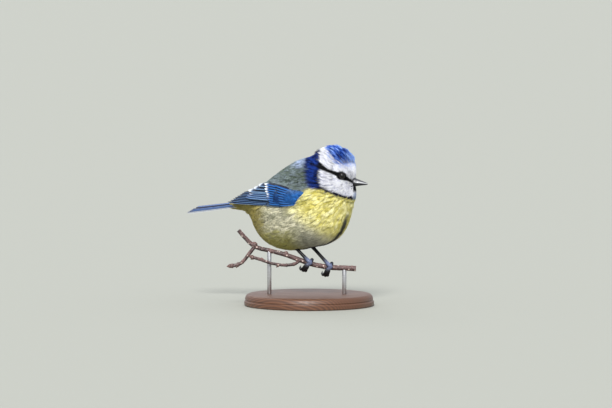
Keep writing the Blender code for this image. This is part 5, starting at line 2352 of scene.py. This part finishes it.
    def build(self) -> None:
        """Make the leg, the foot and its claws."""
        label = self.label
        toes, claws = zip(*(self.digit(toe) for toe in TOES))
        shaped(f"shank_{label}", [self.shank()], self.finishes.scales, (f"leg_{label}",))
        shaped(f"toes_{label}", [self.pad(), *toes], self.finishes.scales, (f"foot_{label}",))
        nodes = tuple(f"claw_{label}_{toe.name}" for toe in TOES)
        shaped(f"claws_{label}", claws, self.finishes.horn, nodes)


@dataclass
class Stand(Assembly):
    """A turned wooden base and two steel rods."""

    radius: float = 39.0
    height: float = 7.0
    edge_radius: float = 2.6
    edge_inset: float = 3.2
    rod_radius: float = 1.3
    rod_end: float = 0.6
    rod_bevel: float = 0.12
    rod_places: tuple[float, float] = (14.0, -31.0)
    twig: Twig = Twig()

    def base(self) -> Shape:
        """The turned base with a bead under its rounded edge.

        Returns:
            The shape.
        """
        foot = ((0.7, 0.0), (0.0, 0.7), (0.0, 2.6), (0.5, 3.0), (0.75, 3.5), (0.45, 4.0))
        outline = [(0.0, 0.0), *((self.radius - inset, z) for inset, z in foot)]
        for i in range(7):
            angle = math.pi / 2 * i / 6
            outline.append((self.radius - self.edge_inset + self.edge_radius * math.cos(angle),
                            self.height - self.edge_radius + self.edge_radius * math.sin(angle)))
        outline.append((0.0, self.height))
        shape = bmesh.new()
        verts = [shape.verts.new((r, 0.0, z)) for r, z in outline]
        edges = [shape.edges.new(pair) for pair in zip(verts, verts[1:])]
        bmesh.ops.spin(shape, geom=verts + edges, cent=(0, 0, 0), axis=(0, 0, 1), angle=2 * math.pi,
                       steps=128, use_merge=True)
        bmesh.ops.remove_doubles(shape, verts=shape.verts, dist=1e-4)
        bmesh.ops.recalc_face_normals(shape, faces=shape.faces)
        return shape

    def rod(self, place: float) -> Shape:
        """A rod from the base up into the twig.

        Args:
            place: Distance along the perch from the feet.

        Returns:
            The shape.
        """
        centre, _ = self.twig.at(place)
        tall = centre.z - self.rod_end - self.height
        shape = bmesh.new()
        bmesh.ops.create_cone(shape, cap_ends=True, segments=40, radius1=self.rod_radius,
                              radius2=self.rod_radius, depth=tall)
        middle = Vector((centre.x, centre.y, self.height + tall / 2))
        bmesh.ops.translate(shape, vec=middle, verts=shape.verts)
        ends = [e for e in shape.edges if abs(e.verts[0].co.z - e.verts[1].co.z) < 1e-6]
        bmesh.ops.bevel(shape, geom=ends, offset=self.rod_bevel, segments=2, profile=0.5, affect="EDGES",
                        material=-1)
        return shape

    def build(self) -> None:
        """Make the base and the rods."""
        shaped("base_turned", [self.base()], self.finishes.wood, ("stand_base",), 35.0)
        for number, place in enumerate(self.rod_places, 1):
            node = f"stand_rod_{number}"
            shaped(f"rod_{number}", [self.rod(place)], self.finishes.steel, (node,), 35.0)


# Studio.


@dataclass(frozen=True)
class Lamp:
    """A sun that stands at a place towards the camera, to the right and up; its size is in degrees."""

    name: str
    place: Point
    size: float
    strength: float
    colour: Point


LAMPS = (
    Lamp("key", (0.82, -0.1, 0.66), 17.0, 4.0, (1.0, 0.985, 0.96)),
    Lamp("rim", (-0.8, -0.3, 0.8), 40.0, 0.5, (1.0, 1.0, 1.0)),
)


@dataclass
class Studio:
    """A pale floor, soft lights and the camera at the photo's angle."""

    azimuth: float = math.radians(27.0)
    elevation: float = math.radians(4.0)
    lens: float = 300.0
    sensor: float = 36.0
    frame_width: float = 367.2
    aim_right: float = -9.0
    aim_up: float = 37.2
    floor_half: float = 30.0
    floor_colour: Point = (160, 162, 154)
    sky_colour: Point = (0.92, 0.95, 1.0)
    sky_strength: float = 0.8

    def show(self, name: str, data: bpy.types.ID, place: Vector, back: Vector) -> bpy.types.Object:
        """Link a camera or a lamp that looks away from where it stands.

        Args:
            name: Its name.
            data: Its camera or light.
            place: Where it stands, in metres.
            back: The way from what it looks at.

        Returns:
            The object.
        """
        obj = bpy.data.objects.new(name, data)
        obj.location = place
        obj.rotation_mode = "QUATERNION"
        obj.rotation_quaternion = back.to_track_quat("Z", "Y")
        bpy.context.scene.collection.objects.link(obj)
        return obj

    def floor(self) -> None:
        """Make the floor."""
        shape = bmesh.new()
        bmesh.ops.create_grid(shape, x_segments=1, y_segments=1, size=self.floor_half)
        mesh = bpy.data.meshes.new("floor")
        shape.to_mesh(mesh)
        shape.free()
        pale, kit, shader = blank("floor_pale")
        kit.feed(shader, Base_Color=opaque(self.floor_colour), Roughness=0.9)
        mesh.materials.append(pale)
        floor = bpy.data.objects.new("floor", mesh)
        bpy.context.scene.collection.objects.link(floor)

    def build(self) -> None:
        """Make the floor, the lights and the camera."""
        self.floor()
        flat = Vector((math.sin(self.azimuth), -math.cos(self.azimuth), 0.0))
        right = Vector((math.cos(self.azimuth), math.sin(self.azimuth), 0.0))
        back = flat * math.cos(self.elevation) + UP * math.sin(self.elevation)
        aim = (FEET_CENTRE + right * self.aim_right + back.cross(right) * self.aim_up) * MM
        data = bpy.data.cameras.new("camera")
        data.lens = self.lens
        data.sensor_width = self.sensor
        data.clip_start, data.clip_end = 0.1, 100.0
        distance = self.lens / self.sensor * self.frame_width * MM
        bpy.context.scene.camera = self.show("camera", data, aim + back * distance, back)
        for lamp in LAMPS:
            light = bpy.data.lights.new(lamp.name, "SUN")
            light.angle = math.radians(lamp.size)
            light.energy = lamp.strength
            light.color = lamp.colour
            ahead, aside, above = lamp.place
            way = flat * ahead + right * aside + UP * above
            self.show(lamp.name, light, aim + way, way)
        world = bpy.data.worlds.new("world")
        world.use_nodes = True
        sky = world.node_tree.nodes["Background"]
        sky.inputs["Color"].default_value = (*self.sky_colour, 1.0)
        sky.inputs["Strength"].default_value = self.sky_strength
        bpy.context.scene.world = world
        bpy.context.scene.view_settings.view_transform = "Standard"


def write_size() -> None:
    """Bring the placements of the scene up to date."""
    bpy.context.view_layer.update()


def main() -> None:
    """Build the studio, the bird, its perch and its stand."""
    logging.basicConfig(level=logging.INFO, format="%(name)s: %(message)s")
    finishes = FinishSet()
    Studio().build()
    form = BodyForm()
    plumage = Plumage()
    surface = WingSurface(form)
    skin = Skin(finishes, form, plumage)
    skin.build()
    Coat(finishes, form, plumage, surface, skin).build()
    for label, side in (("right", -1), ("left", 1)):
        Wing(finishes, label, side, surface).build()
    Tail(finishes).build()
    Eyes(finishes).build()
    Bill(finishes).build()
    Leg(finishes, "right", -6.9, Vector((-8.1, -5.0, 36.3))).build()
    Leg(finishes, "left", 5.4, Vector((0.3, 2.5, 35.8))).build()
    Perch(finishes).build()
    Stand(finishes).build()
    write_size()


if __name__ == "__main__":
    main()
